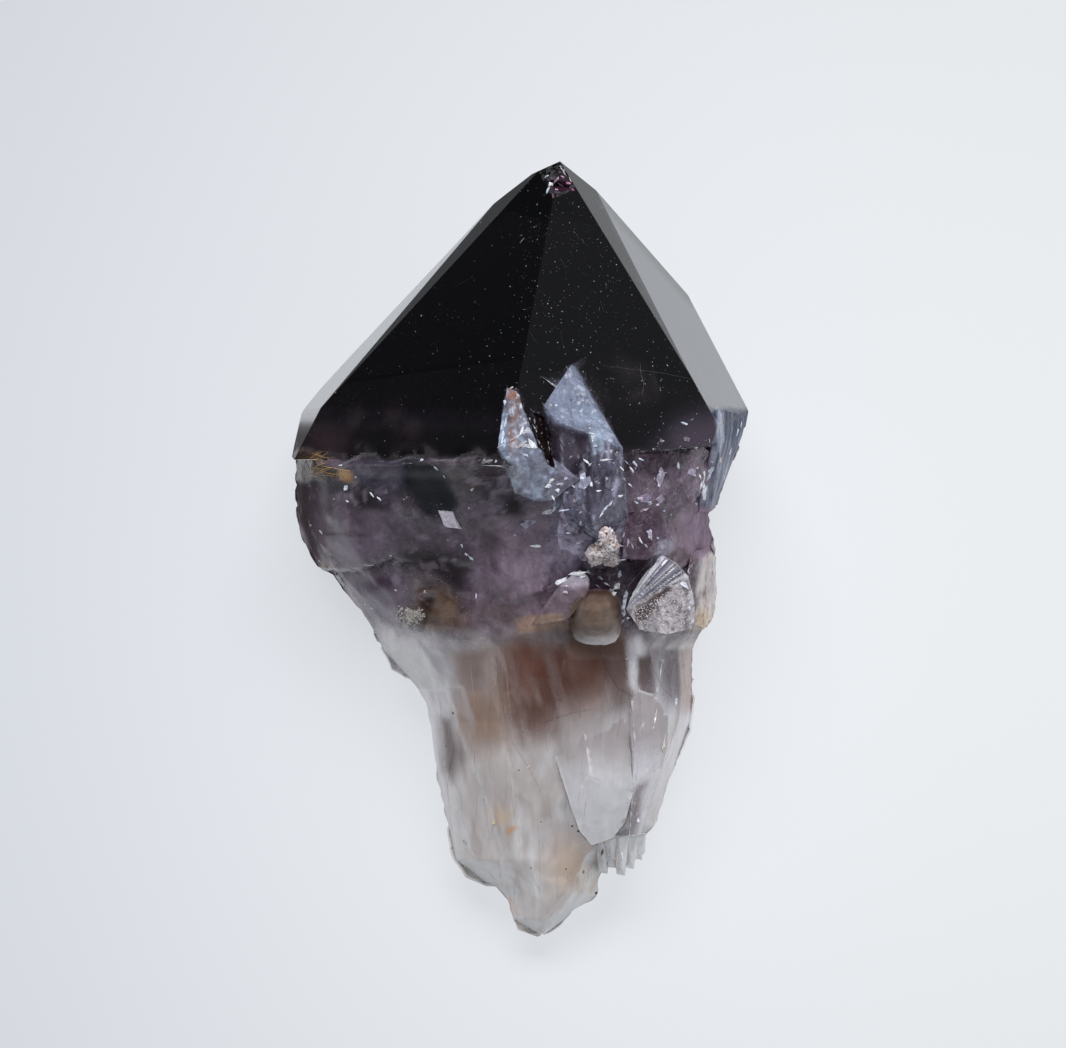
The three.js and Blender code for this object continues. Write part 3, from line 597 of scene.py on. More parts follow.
# each: kind, edge length mm, bevel mm, roughening mm, points
added = [
    (SMALL, 0.6, 0.07, 0.0, on_end((571, 365), (544, 405), (553, 417), (566, 424), (592, 432), (621, 447), (598, 409), (584, 385)) + [
        (577, 367, 19.2), (623, 448, 25.2), (628, 516, 22.4), (622, 520, 24.4), (592, 524, 28.2), (566, 512, 27.6), (556, 470, 27.4),
        (600, 545, 23.0), (571, 372, 12), (545, 420, 12), (625, 540, 10), (560, 545, 10)]),
    (BLADE, 0.52, 0.05, 0.16, [(507, 387, 25.4), (517, 391, 25.8), (522, 404, 27.6), (529, 426, 30.4), (539, 449, 31.6), (497, 449, 31.0), (503, 411, 27.0),
        (501, 430, 29.2), (508, 400, 14), (535, 450, 14), (500, 450, 14)]),
    (BLADE, 0.52, 0.05, 0.16, [(497, 447, 31.0), (508, 462, 31.2), (515, 493, 28.4), (534, 501, 27.4), (552, 501, 27.8), (581, 479, 28.6), (560, 473, 30.4),
        (549, 459, 31.4), (539, 448, 31.6), (505, 450, 14), (575, 480, 14), (535, 500, 14), (515, 490, 14)]),
    (CHIPS, 0.5, 0.0, 0.35, [(560, 505, 26.4), (600, 500, 25.6), (628, 512, 23.0), (622, 548, 20.4), (585, 562, 20.6), (556, 548, 22.4), (570, 530, 25.4), (590, 530, 8)]),
    (CHIPS, 0.5, 0.0, 0.30, [on_right(620, 455, 0.4), on_right(640, 449, -0.1), on_right(668, 446, -0.1), on_right(696, 441, -0.3), (712, 452, 12.6), (708, 486, 12.2), (694, 502, 15.0),
        (655, 514, 19.2), (626, 512, 21.6), (618, 480, 23.4), (617, 450, 17), (616, 458, 8), (616, 508, 8), (700, 486, 6), (690, 450, 6)]),
    (CHIPS, 0.5, 0.0, 0.3, [(624, 508, 21.4), (640, 512, 20.6), (664, 508, 19.2), (672, 530, 17.2), (666, 552, 16.6), (648, 560, 17.8), (622, 560, 19.4), (622, 510, 8), (622, 558, 8), (662, 530, 6)]),
    (LOBE, 0.5, 0.1, 0.25, [(552, 604, 17.4), (560, 582, 19.0), (580, 570, 20.0), (590, 578, 19.8), (587, 600, 19.0), (566, 620, 16.2), (530, 626, 14.6), (550, 600, 4), (590, 620, 4)]),
    (LOBE, 0.5, 0.0, 0.06, dome_points),
    (FRAG, 0.25, 0.0, 0.10, [(662, 555, 20.6), (676, 562, 19.6), (689, 577, 16.0), (695, 604, 13.6), (694, 628, 12.2), (668, 634, 14.6), (640, 630, 16.4), (626, 609, 19.0), (634, 590, 20.6),
        (648, 570, 21.2), (660, 590, 2), (650, 630, 2)]),
    (STEM, 0.6, 0.2, 0.3, [(690, 552, 9.0), (708, 546, 5.0), (717, 556, -4.0), (717, 592, -4.0), (714, 618, -5.0), (704, 630, 2.0), (688, 625, 8.0), (684, 590, 11.0), (694, 570, 10.0),
        (700, 590, -14), (700, 620, -14)]),
    (SHARD, 0.66, 0.12, 0.10, [(547, 730, 7.4), (580, 708, 9.1), (624, 718, 7.7), (631, 752, 7.3), (634, 791, 7.2), (626, 822, 6.4), (614, 838, 5.6), (591, 846, 5.2), (579, 831, 6.2),
        (571, 809, 7.2), (557, 764, 7.9), (590, 776, 8.9), (590, 740, 0), (600, 820, 0)]),
    (SHARD, 0.64, 0.1, 0.10, [(630, 686, 7.4), (655, 694, 6.4), (668, 716, 4.9), (667, 748, 4.0), (656, 784, 2.6), (644, 812, 2.2), (640, 836, 2.0), (628, 838, 3.6), (632, 790, 6.8),
        (634, 744, 8.2), (650, 760, -6)]),
    (PRISM, 0.6, 0.06, 0.0, [(719, 409, 13.6), (721, 440, 11.6), (716, 478, 9.6), (710, 512, 7.0), (747, 416, -12), (742, 436, -13), (728, 470, -13), (715, 508, -7), (692, 415, 0),
        (690, 505, -2), (722, 430, -24), (712, 480, -22), (704, 456, 12.4), (702, 490, 12.9), (699, 512, 10.4), (668, 455, 8), (668, 505, 8)]),
    (FRAG, 0.8, 0.1, 0.06, [(596, 836, 1.2), (620, 836, 1.6), (646, 833, -1.2), (598, 866, -2.4), (612, 862, -1.6), (624, 869, -2.2), (634, 861, -3.2), (645, 853, -4.6), (600, 862, -10.5),
        (643, 848, -10.5), (597, 842, -10.5), (645, 838, -10.5)]),
    *((FRAG, 0.62, 0.1, 0.08, splinter(*q)) for q in ((603, 8, 873, 1.4), (612, 8, 867, 2.2), (621, 8, 875, 1.9), (630, 7.5, 868, 0.9), (638, 7, 859, -0.6))),
]
removed = [
    (PIT, 0.5, 0.3, [(531, 408, 34), (545, 412, 34), (556, 432, 34), (556, 470, 34), (546, 466, 34), (536, 440, 34),
        (533, 412, 24.4), (543, 416, 23.6), (551, 434, 24.6), (551, 462, 25.8), (546, 456, 26.2), (538, 438, 25.6)]),
    (PIT, 0.5, 0.3, [(589, 566, 26), (617, 566, 26), (615, 588, 26), (600, 594, 26), (592, 584, 26), (596, 570, 16.4), (612, 570, 16.2), (606, 582, 15.8)]),
    (PIT, 0.25, 0.1, [(543, 178, 6), (560, 171, 6), (578, 186, 6), (566, 197, 6), (549, 192, 6), (550, 181, 0.3), (568, 186, -0.2), (557, 189, 1.0)]),
]


FAN = [(622, 612), (628, 590), (640, 568), (655, 553), (672, 562), (689, 577), (672, 584), (650, 594)]


def fan_lines(x, y):
    """Phase of the ridges that spread from the fan's foot, and how far out a point is."""
    turn_ = np.degrees(np.arctan2(617 - y, x - 617))
    return turn_ / 4.4 + 0.25 * np.sin(turn_ * 0.9), np.hypot(x - 617, y - 617)


def roughen(ob, amount, seed, ribs=None):
    me = ob.data
    P, N = coords(me), normals(me)
    F = back_to_flat(P)
    d = -amount * scoops(F, 2.4, 1.0, seed) + amount * 0.6 * fbm(F, 1.8, 3, seed) + amount * chips(F, 1.4, 0.8, seed + 1)
    if ribs:
        D = back_to_drawing(P)
        phase, far = fan_lines(D[:, 0], D[:, 1])
        on_fan = 1 - ramp(outline_distance(FAN, D[:, 0], D[:, 1]), -1.5, 1.5)
        d += on_fan * ramp(far, 5, 45) * 0.46 * (np.abs(phase % 1 - 0.5) * 2 - 0.5) + (1 - on_fan) * 0.06 * fbm(F, 0.5, 2, 65)
    set_coords(me, P + N * (d / 1000)[:, None])


crystal = stem
for m in kind_materials:
    crystal.data.materials.append(m)
combine_list = [("UNION", head)]
for n, (kind, edge, bevel, amount, points) in enumerate(added):
    # the part of the fragment that shows is finer than the part inside the stem
    shown = (lambda m: np.where(back_to_drawing(m)[:, 2] > 10.5, 0.0004, 0.0018)) if n == 8 else None
    ob = solid_hull(f"part_{n}", flat(points), 1.2 if shown else edge, bevel, kind, shown)
    if amount:
        roughen(ob, amount, 60 + n, n == 8)
    combine_list.append(("UNION", ob))
for n, (kind, edge, amount, points) in enumerate(removed):
    ob = solid_hull(f"pit_{n}", flat(points), edge, 0, kind)
    roughen(ob, amount, 90 + n)
    combine_list.append(("DIFFERENCE", ob))
for how, ob in combine_list:
    for m in kind_materials:
        if m.name not in ob.data.materials:
            ob.data.materials.append(m)
    combine(crystal, ob, how)
# everything below the flat break is gone
slab = new_object("slab", [(x, y, z) for z in (-0.1, 0.0) for y in (-0.3, 0.3) for x in (-0.3, 0.3)],
                  [(0, 2, 3, 1), (4, 5, 7, 6), (0, 1, 5, 4), (2, 6, 7, 3), (0, 4, 6, 2), (1, 3, 7, 5)])
for m in kind_materials:
    slab.data.materials.append(m)
slab.data.polygons.foreach_set("material_index", [PIT] * 6)
combine(crystal, slab, "DIFFERENCE")
crystal.name = crystal.data.name = "amethyst_crystal"
print("crystal faces", len(crystal.data.polygons))

# ---------------------------------------------------------------- surface data: tint, clearness and roughness by place
me = crystal.data
P = coords(me)
D = back_to_drawing(P)
F = back_to_flat(P)
kinds = np.empty(len(me.polygons), int)
me.polygons.foreach_get("material_index", kinds)
loops = np.empty(len(me.loops), int)
me.loops.foreach_get("vertex_index", loops)
totals = np.empty(len(me.polygons), int)
me.polygons.foreach_get("loop_total", totals)
of_loop = np.repeat(kinds, totals)
share = np.zeros((len(P), 10))
np.add.at(share, (loops, of_loop), 1)
share /= np.maximum(share.sum(1, keepdims=True), 1)


def srgb(*c):
    c = np.array(c, float) / 255
    return np.where(c <= 0.04045, c / 12.92, ((c + 0.055) / 1.055) ** 2.4)


N = normals(me)
X, Y = D[:, 0], D[:, 1]
to_front = ramp(N[:, 2] * CL - N[:, 1] * SL, -0.15, 0.2)
WX = X + 5 * fbm(F, 6, 3, 301) + 2 * fbm(F, 1.6, 2, 302)
WY = Y + 5 * fbm(F, 6, 3, 303) + 2 * fbm(F, 1.6, 2, 304)


def zone(outline, soft=3.0, front=True, wander=1.0):
    """1 inside an outline of the drawing; its rim wanders a little."""
    d = outline_distance(outline, X + wander * (WX - X), Y + wander * (WY - Y))
    m = 1 - ramp(d, -soft, soft)
    return m * to_front if front else m


def oval(cx, cy, rx, ry, turn=0.0, soft=0.5, front=True):
    t = math.radians(turn)
    dx, dy = WX - cx, WY - cy
    r = np.hypot((dx * math.cos(t) + dy * math.sin(t)) / rx, (-dx * math.sin(t) + dy * math.cos(t)) / ry)
    m = 1 - ramp(r, 1 - soft, 1 + soft)
    return m * to_front if front else m


tint = np.tile(srgb(92, 81, 94), (len(P), 1))
clear = np.full(len(P), 0.6)
rough = np.full(len(P), 0.09)
sparkle = np.full(len(P), 0.25)
calm = np.zeros(len(P))


def wash(mask, colour=None, clearness=None, roughness=None, glitter=None, calmness=None):
    global tint, clear, rough, sparkle, calm
    if colour is not None:
        tint = tint * (1 - mask[:, None]) + np.asarray(colour) * mask[:, None]
    if clearness is not None:
        clear = clear * (1 - mask) + clearness * mask
    if roughness is not None:
        rough = rough * (1 - mask) + roughness * mask
    if glitter is not None:
        sparkle = sparkle * (1 - mask) + glitter * mask
    if calmness is not None:
        calm = calm * (1 - mask) + calmness * mask


# slow drifts of the colour in the purple middle, all the way round
drift = fbm(F, 9, 3, 320)
wash(ramp(drift, 0.1, 0.6), srgb(58, 48, 60), 0.3)
wash(ramp(-drift, 0.15, 0.6), srgb(104, 90, 106), 0.25)
wash(1 - to_front, None, 0.2)
# --- the middle, left
wash(zone([(294, 478), (345, 480), (395, 500), (402, 545), (352, 572), (316, 566), (298, 535)], 10), srgb(84, 70, 84), 0.2, 0.09, 0.0, 0.9)
wash(oval(344, 526, 36, 20, 14, 0.9), srgb(80, 64, 80), 0.2)
wash(oval(356, 548, 30, 11, 4, 0.9), srgb(90, 72, 91), 0.2)
wash(zone([(292, 470), (306, 482), (312, 520), (322, 556), (306, 560), (292, 500)], 6), srgb(52, 44, 47), 0.1, 0.16)
wash((1 - ramp(X, 302, 314)) * ramp(Y, 420, 428) * (1 - ramp(Y, 545, 560)), srgb(38, 32, 35), 0.05, 0.2)
wash(oval(322, 562, 14, 8, 20, 0.8), srgb(80, 60, 60), 0.25, 0.12)
wash(oval(330, 500, 24, 11, 0, 0.9), srgb(72, 62, 72))
wash(np.exp(-(((Y - np.interp(X, [300, 320, 345, 372], [528, 534, 535, 536])) / 1.6) ** 2)) * (1 - ramp(X, 360, 376)) * to_front * 0.8, srgb(50, 38, 48), 0.1)
wash(zone([(348, 480), (384, 486), (388, 512), (352, 510)], 9), srgb(24, 16, 23), 0.12, 0.08, 0.0, 0.9)
wash(zone([(346, 458), (404, 456), (412, 488), (384, 506), (352, 482)], 8), srgb(54, 50, 63), 0.2, 0.1, 0.0, 0.5)
wash(oval(366, 468, 14, 7, 0, 0.8), srgb(84, 78, 92), 0.2)
wash(oval(396, 476, 12, 12, 0, 0.9), srgb(64, 58, 72), 0.2)
wash(zone([(402, 458), (436, 460), (455, 474), (463, 504), (452, 522), (424, 516), (404, 490)], 8), srgb(15, 19, 25), 0.08, 0.08, 0.0, 0.9)
wash(zone([(384, 526), (440, 524), (464, 532), (472, 552), (430, 554), (388, 550)], 10), srgb(74, 64, 75), 0.2, 0.1, 0.0, 0.7)
wash(zone([(398, 552), (440, 550), (478, 564), (480, 600), (456, 600), (430, 576), (400, 566)], 7), srgb(40, 34, 38), 0.12, 0.1, 0.0, 0.7)
wash(np.exp(-(((Y - np.interp(X, [400, 440, 478], [554, 553, 564])) / 2.2) ** 2)) * ramp(X, 396, 410) * (1 - ramp(X, 466, 480)) * to_front * 0.8, srgb(30, 25, 28), 0.1)
wash(zone([(404, 574), (430, 572), (468, 594), (478, 608), (440, 608), (404, 594)], 9), srgb(78, 68, 72), 0.2, 0.1, 0.0, 0.6)
wash(zone([(340, 570), (398, 568), (406, 600), (402, 628), (366, 628), (342, 598)], 9), srgb(84, 68, 86), 0.2, 0.1, 0.0, 0.6)
wash(oval(382, 584, 20, 8, -8, 0.9), srgb(54, 34, 54), 0.1)
wash(oval(372, 604, 16, 7, -8, 0.9), srgb(100, 92, 106))
wash(zone([(416, 592), (440, 588), (474, 612), (482, 636), (424, 636), (412, 614)], 9), srgb(94, 70, 52), 0.3, 0.12, 0.0, 0.6)
wash(oval(425, 606, 7, 16, 10, 0.8), srgb(44, 30, 26), 0.1)
wash(zone([(380, 612), (398, 608), (402, 630), (384, 630)], 5), srgb(118, 108, 120), 0.25, 0.2, 0.1)
fold_at = np.interp(X, [296, 319, 350, 373, 393, 420, 470], [556, 570, 571, 565, 559, 562, 566])
# painted shade: a dark band just under the fold of the bulge
wash(np.exp(-(((Y - fold_at - 2.5) / 3.0) ** 2)) * (1 - ramp(X, 385, 410)) * to_front * 0.9, srgb(44, 32, 40), 0.08)
wash(0.8 * (1 - ramp(X + 3 * vnoise(F, 3, 41), 314, 336)) * ramp(Y, 446, 454) * (1 - ramp(Y, 552, 570)), srgb(70, 58, 66), 0.1, 0.7)
flank = (1 - ramp(X, 304, 322)) * ramp(Y, 446, 454) * (1 - ramp(Y, 548, 566))
wash(flank, srgb(52, 43, 46), 0.04, 0.9)
wash(oval(301, 540, 5, 16, -8, 0.8, False), srgb(120, 112, 118), 0.1, 0.3)
# --- the middle, centre
wash(zone([(476, 512), (545, 500), (560, 560), (560, 632), (466, 632), (474, 560)], 14), srgb(104, 88, 103), 0.22, 0.11, 0.0, 0.4)
wash(oval(524, 562, 28, 40, -20, 0.9), srgb(136, 119, 136), 0.2, 0.16)
wash(oval(537, 586, 18, 18, 0, 0.9), srgb(132, 116, 130))
wash(oval(500, 612, 30, 14, -10, 0.9), srgb(96, 82, 86), 0.2)
wash(oval(488, 540, 10, 30, -20, 0.9), srgb(78, 66, 78))
wash(zone([(440, 462), (500, 464), (504, 486), (470, 500), (450, 478)], 9), srgb(56, 49, 52), 0.15, 0.1, 0.05, 0.5)
wash(zone([(482, 474), (510, 470), (524, 500), (522, 518), (494, 522), (480, 500)], 8), srgb(48, 41, 50), 0.15, 0.1, 0.0, 0.6)
wash(oval(513, 507, 6, 7, 0, 0.6), srgb(18, 10, 13), 0.08)
wash(zone([(546, 494), (600, 492), (628, 505), (624, 560), (590, 572), (552, 566)], 7), srgb(108, 100, 118), 0.25, 0.12, 0.25, 0.3)
wash(oval(562, 552, 15, 26, 0, 0.8), srgb(158, 146, 168), 0.2, 0.14, 0.1)
# --- the middle, right
wash(zone([(618, 452), (712, 446), (716, 512), (700, 560), (640, 566), (618, 540)], 9), srgb(86, 70, 83), 0.22, 0.08, 0.15, 0.4)
wash(zone([(618, 446), (676, 440), (674, 470), (622, 474)], 8), srgb(48, 38, 47), 0.15)
wash(zone([(620, 500), (660, 505), (652, 545), (632, 556), (618, 530)], 8), srgb(66, 48, 61), 0.2, 0.08, 0.15, 0.4)
wash(oval(688, 470, 18, 14, 0, 0.9), srgb(96, 82, 94), 0.2)
wash(oval(690, 532, 24, 38, 12, 0.7), srgb(110, 92, 104), 0.22, 0.08, 0.0, 0.9)
wash(oval(697, 518, 12, 16, 0, 0.9), srgb(136, 118, 134), 0.2, 0.08)
wash(oval(676, 554, 16, 10, 20, 0.8), srgb(80, 62, 66), 0.2, 0.08, 0.0, 0.8)
wash(zone([(706, 546), (722, 540), (722, 634), (702, 634), (695, 590)], 4), srgb(200, 188, 186), 0.3, 0.2, 0.0, 0.5)
wash(oval(704, 620, 14, 10, 0, 0.8), srgb(206, 182, 152), 0.3, 0.2)
wash(oval(703, 596, 2.4, 4.4, 10, 0.6), srgb(120, 66, 48), 0.2, 0.3)
grit = fbm(F * (1.0, 0.7, 1.0), 1.7, 4, 371)
grit_here = to_front * (1 - zone([(398, 456), (440, 458), (460, 474), (466, 505), (455, 526), (424, 520), (402, 492)], 8))
wash(ramp(grit, 0.12, 0.5) * grit_here * 0.35, srgb(146, 130, 147), 0.22)
wash(ramp(-grit, 0.12, 0.5) * grit_here * 0.4, srgb(50, 39, 47), 0.15)
# --- the root
root = ramp(Y + 9 * vnoise(F, 9, 13), 620, 660)
low = ramp(Y + 10 * vnoise(F, 10, 14), 690, 770)
slant = fbm((F + np.stack((0.28 * F[:, 1], 0 * F[:, 1], 0 * F[:, 1]), 1)) * (1.0, 0.12, 1.0), 1.9, 3, 362)
brown = root * np.clip(0.92 + 0.8 * slant, 0.5, 1)
strand = fbm(F * (1.0, 0.16, 1.0), 2.6, 3, 330)
wash(root, srgb(168, 164, 166), 0.33, 0.32, 0.0, 0.6)
wash(root * (1 - ramp(X - 0.1 * (Y - 640), 440, 480)), srgb(184, 183, 188), 0.3, 0.32)
wash(zone([(380, 640), (412, 640), (416, 690), (402, 690), (388, 662)], 8) * root, srgb(148, 146, 156), 0.3)
wash(root * low, srgb(178, 172, 169), 0.34, 0.34, 0.0)
wash(root * ramp(strand, 0.05, 0.5) * 0.8, srgb(200, 199, 200), 0.34)
wash(root * ramp(-strand, 0.1, 0.5) * 0.65, srgb(146, 136, 132), 0.38)
wash(root * ramp(Y, 820, 890) * 0.35, srgb(204, 199, 197), 0.28, 0.4)
wash(zone([(480, 632), (560, 628), (656, 636), (654, 690), (600, 722), (560, 738), (516, 742), (496, 700)], 26, wander=0.5) * brown, srgb(120, 96, 86), 0.36, 0.26)
wash(zone([(508, 632), (640, 632), (626, 674), (572, 700), (556, 730), (520, 742), (505, 690)], 18, wander=0.5) * brown * (1 - 0.4 * ramp(Y, 690, 745)), srgb(80, 50, 39), 0.32, 0.24)
wash(zone([(532, 640), (640, 636), (634, 680), (600, 694), (560, 706), (540, 690)], 12, wander=0.6) * root * 0.55, srgb(70, 42, 33), 0.3)
wash(oval(528, 672, 14, 28, 0, 0.9) * root * 0.7, srgb(100, 66, 54), 0.42)
wash(zone([(452, 690), (480, 682), (506, 700), (506, 740), (470, 752), (452, 726)], 20, wander=0.3) * root, srgb(138, 115, 100), 0.36)
patch = zone([(438, 716), (452, 720), (462, 752), (452, 784), (442, 770), (440, 744)], 8, wander=0.4) * root
wash(patch, srgb(92, 76, 74), 0.4)
wash(zone([(446, 646), (492, 646), (492, 684), (456, 690)], 14, wander=0.3) * root, srgb(122, 106, 100), 0.38)
wash(zone([(412, 640), (446, 646), (450, 700), (430, 706)], 9, wander=0.3) * root, srgb(152, 149, 154), 0.42)
wash(zone([(608, 660), (664, 640), (664, 690), (640, 712), (606, 716)], 12, wander=0.5) * root * 0.8, srgb(88, 72, 68), 0.35, 0.22)
wash(zone([(652, 636), (698, 636), (694, 690), (672, 706), (652, 690)], 10, wander=0.3) * root, srgb(98, 86, 92), 0.4, 0.2, 0.1)
# painted highlights: a bright upright streak and a bright spot high on the root's right
wash(oval(633, 668, 5, 26, -6, 0.8) * root, srgb(206, 204, 210), 0.3, 0.2)
wash(oval(640, 646, 7, 9, -30, 0.7) * root, srgb(222, 222, 228), 0.3, 0.14)
wash(zone([(680, 640), (698, 640), (697, 700), (684, 716)], 5, wander=0.3) * root, srgb(180, 164, 158), 0.4, 0.25)
wash(oval(572, 866, 20, 24, 20, 0.95) * root * 0.6, srgb(184, 154, 122), 0.38)
wash(oval(508, 897, 4.5, 18, -18, 0.8) * root * 0.8, srgb(206, 172, 154), 0.38)
wash(oval(595, 884, 4, 14, 12, 0.8) * root * 0.8, srgb(206, 172, 150), 0.38)
wash(oval(500, 816, 9, 7, 0, 0.95) * root * 0.5, srgb(196, 170, 132), 0.4)
wash(oval(510, 829, 3.6, 3.6, 0, 0.9) * root * 0.8, srgb(190, 140, 84), 0.4)
wash(oval(602, 750, 46, 36, 10, 0.9) * root * 0.7, srgb(164, 160, 162), 0.3, 0.3)
wash(oval(656, 716, 18, 24, 8, 0.9) * root * 0.7, srgb(170, 164, 174), 0.32, 0.26)
# --- the pieces grown on it
grown = share[:, SHARD]
wash(grown * ramp(Y, 728, 790), srgb(184, 184, 187), 0.3, 0.3, 0.0, 0.8)
second = zone([(632, 690), (668, 700), (662, 790), (640, 838), (628, 838), (636, 760)], 4)
wash(grown * second, srgb(196, 194, 200), 0.36, 0.2, 0.0, 0.8)
wash(grown * (1 - ramp(Y, 728, 778)), srgb(150, 143, 144), 0.33, 0.3)
wash(grown * zone([(636, 786), (646, 780), (638, 838), (616, 842), (626, 822)], 4), srgb(138, 129, 131), 0.45, 0.12, 0.1)
lower = share[:, FRAG] * ramp(Y, 800, 830)
upper = share[:, FRAG] - lower
wash(lower, srgb(232, 225, 226), 0.3, 0.16, 0.0, 0.6)
wash(upper, srgb(204, 196, 200), 0.25, 0.16, 0.6, 0.2)
wash(upper * ramp(fbm(F, 0.7, 3, 363), -0.05, 0.25) * 0.8, srgb(206, 200, 206), 0.25)
wash(upper * ramp(-fbm(F, 1.0, 3, 364), 0.0, 0.3) * 0.7, srgb(124, 110, 108), 0.3)
fan = upper * zone(FAN, 1.6, wander=0.1)
wash(fan, srgb(146, 143, 162), 0.35, 0.1, 0.0, 0.9)
phase, _ = fan_lines(X, Y)
# the stripes are partly the fragment's own striations and partly painted light: crests painted pale as highlights,
# troughs painted dark as shade
wash(fan * ramp(np.abs(phase % 1 - 0.5), 0.26, 0.36), srgb(226, 224, 236), 0.25, 0.12)
wash(fan * ramp(-np.abs(phase % 1 - 0.5), -0.17, -0.09), srgb(92, 86, 98), 0.3, 0.12)
# painted highlight along the fan's upper-left edge
wash(fan * zone([(626, 604), (632, 584), (644, 566), (655, 555), (668, 560), (646, 576), (634, 596)], 4) * 0.45, srgb(206, 206, 226), 0.3, 0.1)
# painted shadow under the fan's lower edge
wash(upper * zone([(634, 608), (650, 597), (666, 588), (672, 590), (658, 602), (648, 618), (634, 620)], 2.5), srgb(84, 70, 66), 0.3)
wash(share[:, CHIPS], srgb(102, 88, 102), 0.22, 0.08, 0.3, 0.2)
wash(share[:, CHIPS] * zone([(612, 436), (690, 430), (690, 466), (650, 484), (616, 470)], 10), srgb(54, 43, 53), 0.15)
wash(share[:, CHIPS] * zone([(616, 505), (662, 505), (660, 552), (616, 556)], 8), srgb(82, 64, 78), 0.2)
wash(share[:, CHIPS] * zone([(552, 500), (600, 496), (620, 510), (616, 560), (560, 566)], 5), srgb(126, 117, 138), 0.22, 0.12, 0.25)
wash(share[:, CHIPS] * oval(561, 552, 14, 26, 0, 0.9), srgb(152, 140, 164), 0.22, 0.14)
wash(share[:, LOBE], srgb(128, 110, 122), 0.4, 0.09, 0.0, 0.8)
wash(share[:, LOBE] * zone([(556, 574), (590, 568), (590, 586), (560, 590)], 3), srgb(190, 180, 194), 0.3, 0.12, 0.2)
wash(zone([(516, 618), (560, 614), (576, 628), (518, 634)], 4), srgb(164, 136, 120), 0.38, 0.2, 0.1)
dome = zone([(568, 654), (570, 604), (588, 591), (608, 589), (621, 600), (623, 654)], 2.5, wander=0.1) * to_front
wash(dome, srgb(96, 77, 67), 0.2, 0.34, 0.0, 1.0)
wash(dome * oval(598, 612, 14, 12, 0, 0.9), srgb(108, 88, 74), 0.2)
wash(dome * ramp(fbm(F * (0.3, 1.6, 1.0), 1.6, 3, 372), 0.05, 0.4) * 0.6, srgb(124, 102, 88), 0.2)
wash(dome * ramp(-fbm(F * (0.3, 1.6, 1.0), 1.6, 3, 372), 0.05, 0.4) * 0.5, srgb(76, 58, 48), 0.2)
wash(dome * oval(596, 593, 26, 7, 0, 0.9), srgb(70, 52, 45), 0.2)
wash(share[:, LOBE] * ramp(X, 566, 570) * ramp(Y, 628, 642), srgb(78, 59, 51), 0.1, 0.8)
wash(zone([(568, 640), (626, 640), (624, 658), (572, 658)], 3, wander=0.3), srgb(82, 60, 52), 0.1, 0.8)
small = share[:, SMALL]
frosted = zone([(571, 362), (540, 405), (552, 419), (566, 426), (592, 434), (624, 450), (598, 408), (584, 384)], 1.6, wander=0.15)
wash(small, srgb(98, 96, 116), 0.5, 0.14, 0.35)
wash(small * frosted, srgb(124, 132, 154), 0.3, 0.26, 0.3)
wash(small * frosted * oval(600, 425, 14, 20, -30, 0.8), srgb(144, 156, 180), 0.3)
wash(small * zone([(546, 420), (566, 427), (590, 436), (590, 480), (550, 480)], 3), srgb(62, 54, 64), 0.6, 0.08, 0.05, 0.3)
wash(small * zone([(562, 430), (574, 432), (582, 452), (570, 474), (560, 470)], 3.5), srgb(88, 82, 94), 0.5)
wash(small * zone([(592, 434), (604, 430), (602, 450), (592, 452)], 2.5), srgb(180, 196, 220), 0.3, 0.14, 0.2)
wash(small * zone([(592, 452), (622, 452), (624, 515), (592, 520)], 3), srgb(100, 97, 116), 0.45, 0.12, 0.3)
grainy = fbm(F * (1.0, 0.10, 1.0), 0.6, 3, 361)
low_side = small * ramp(Y, 432, 446) + share[:, CHIPS] * (1 - ramp(X, 616, 628)) * ramp(Y, 490, 505)
wash(low_side * ramp(grainy, 0.1, 0.4) * 0.7, srgb(168, 170, 192), 0.25, 0.12)
wash(low_side * ramp(-grainy, 0.12, 0.42) * 0.8, srgb(52, 46, 58), 0.3, 0.1)
blade = share[:, BLADE]
wash(blade, srgb(134, 138, 156), 0.35, 0.14, 0.2)
wash(blade * oval(516, 414, 5, 20, 8, 0.8), srgb(140, 112, 102), 0.35, 0.25)
wash(blade * oval(512, 394, 6, 5, 0, 0.8), srgb(160, 108, 84), 0.3, 0.3)
wash(blade * oval(514, 440, 7, 12, 0, 0.8), srgb(144, 118, 110), 0.35, 0.2)
# painted highlight: a blue-white strip along the blade's left edge
wash(blade * zone([(498, 440), (504, 412), (508, 414), (505, 452), (500, 454)], 2.5), srgb(146, 168, 198), 0.3, 0.12, 0.2)
wash(blade * zone([(508, 452), (522, 458), (524, 484), (512, 490)], 4), srgb(154, 162, 176), 0.35, 0.16)
wash(blade * zone([(548, 470), (582, 472), (580, 482), (552, 500)], 4), srgb(132, 126, 148), 0.4, 0.12)
streak = fbm(F, 1.1, 3, 360)
wash(blade * ramp(streak, 0.12, 0.4) * 0.75, srgb(186, 200, 226), 0.3, 0.12, 0.2)
wash(blade * ramp(-streak, 0.15, 0.45) * 0.6, srgb(92, 84, 92), 0.4, 0.12)
wash(zone([(646, 566), (654, 552), (664, 541), (672, 536), (673, 548), (664, 556), (652, 566)], 3) * to_front, srgb(146, 140, 156), 0.25, 0.12)
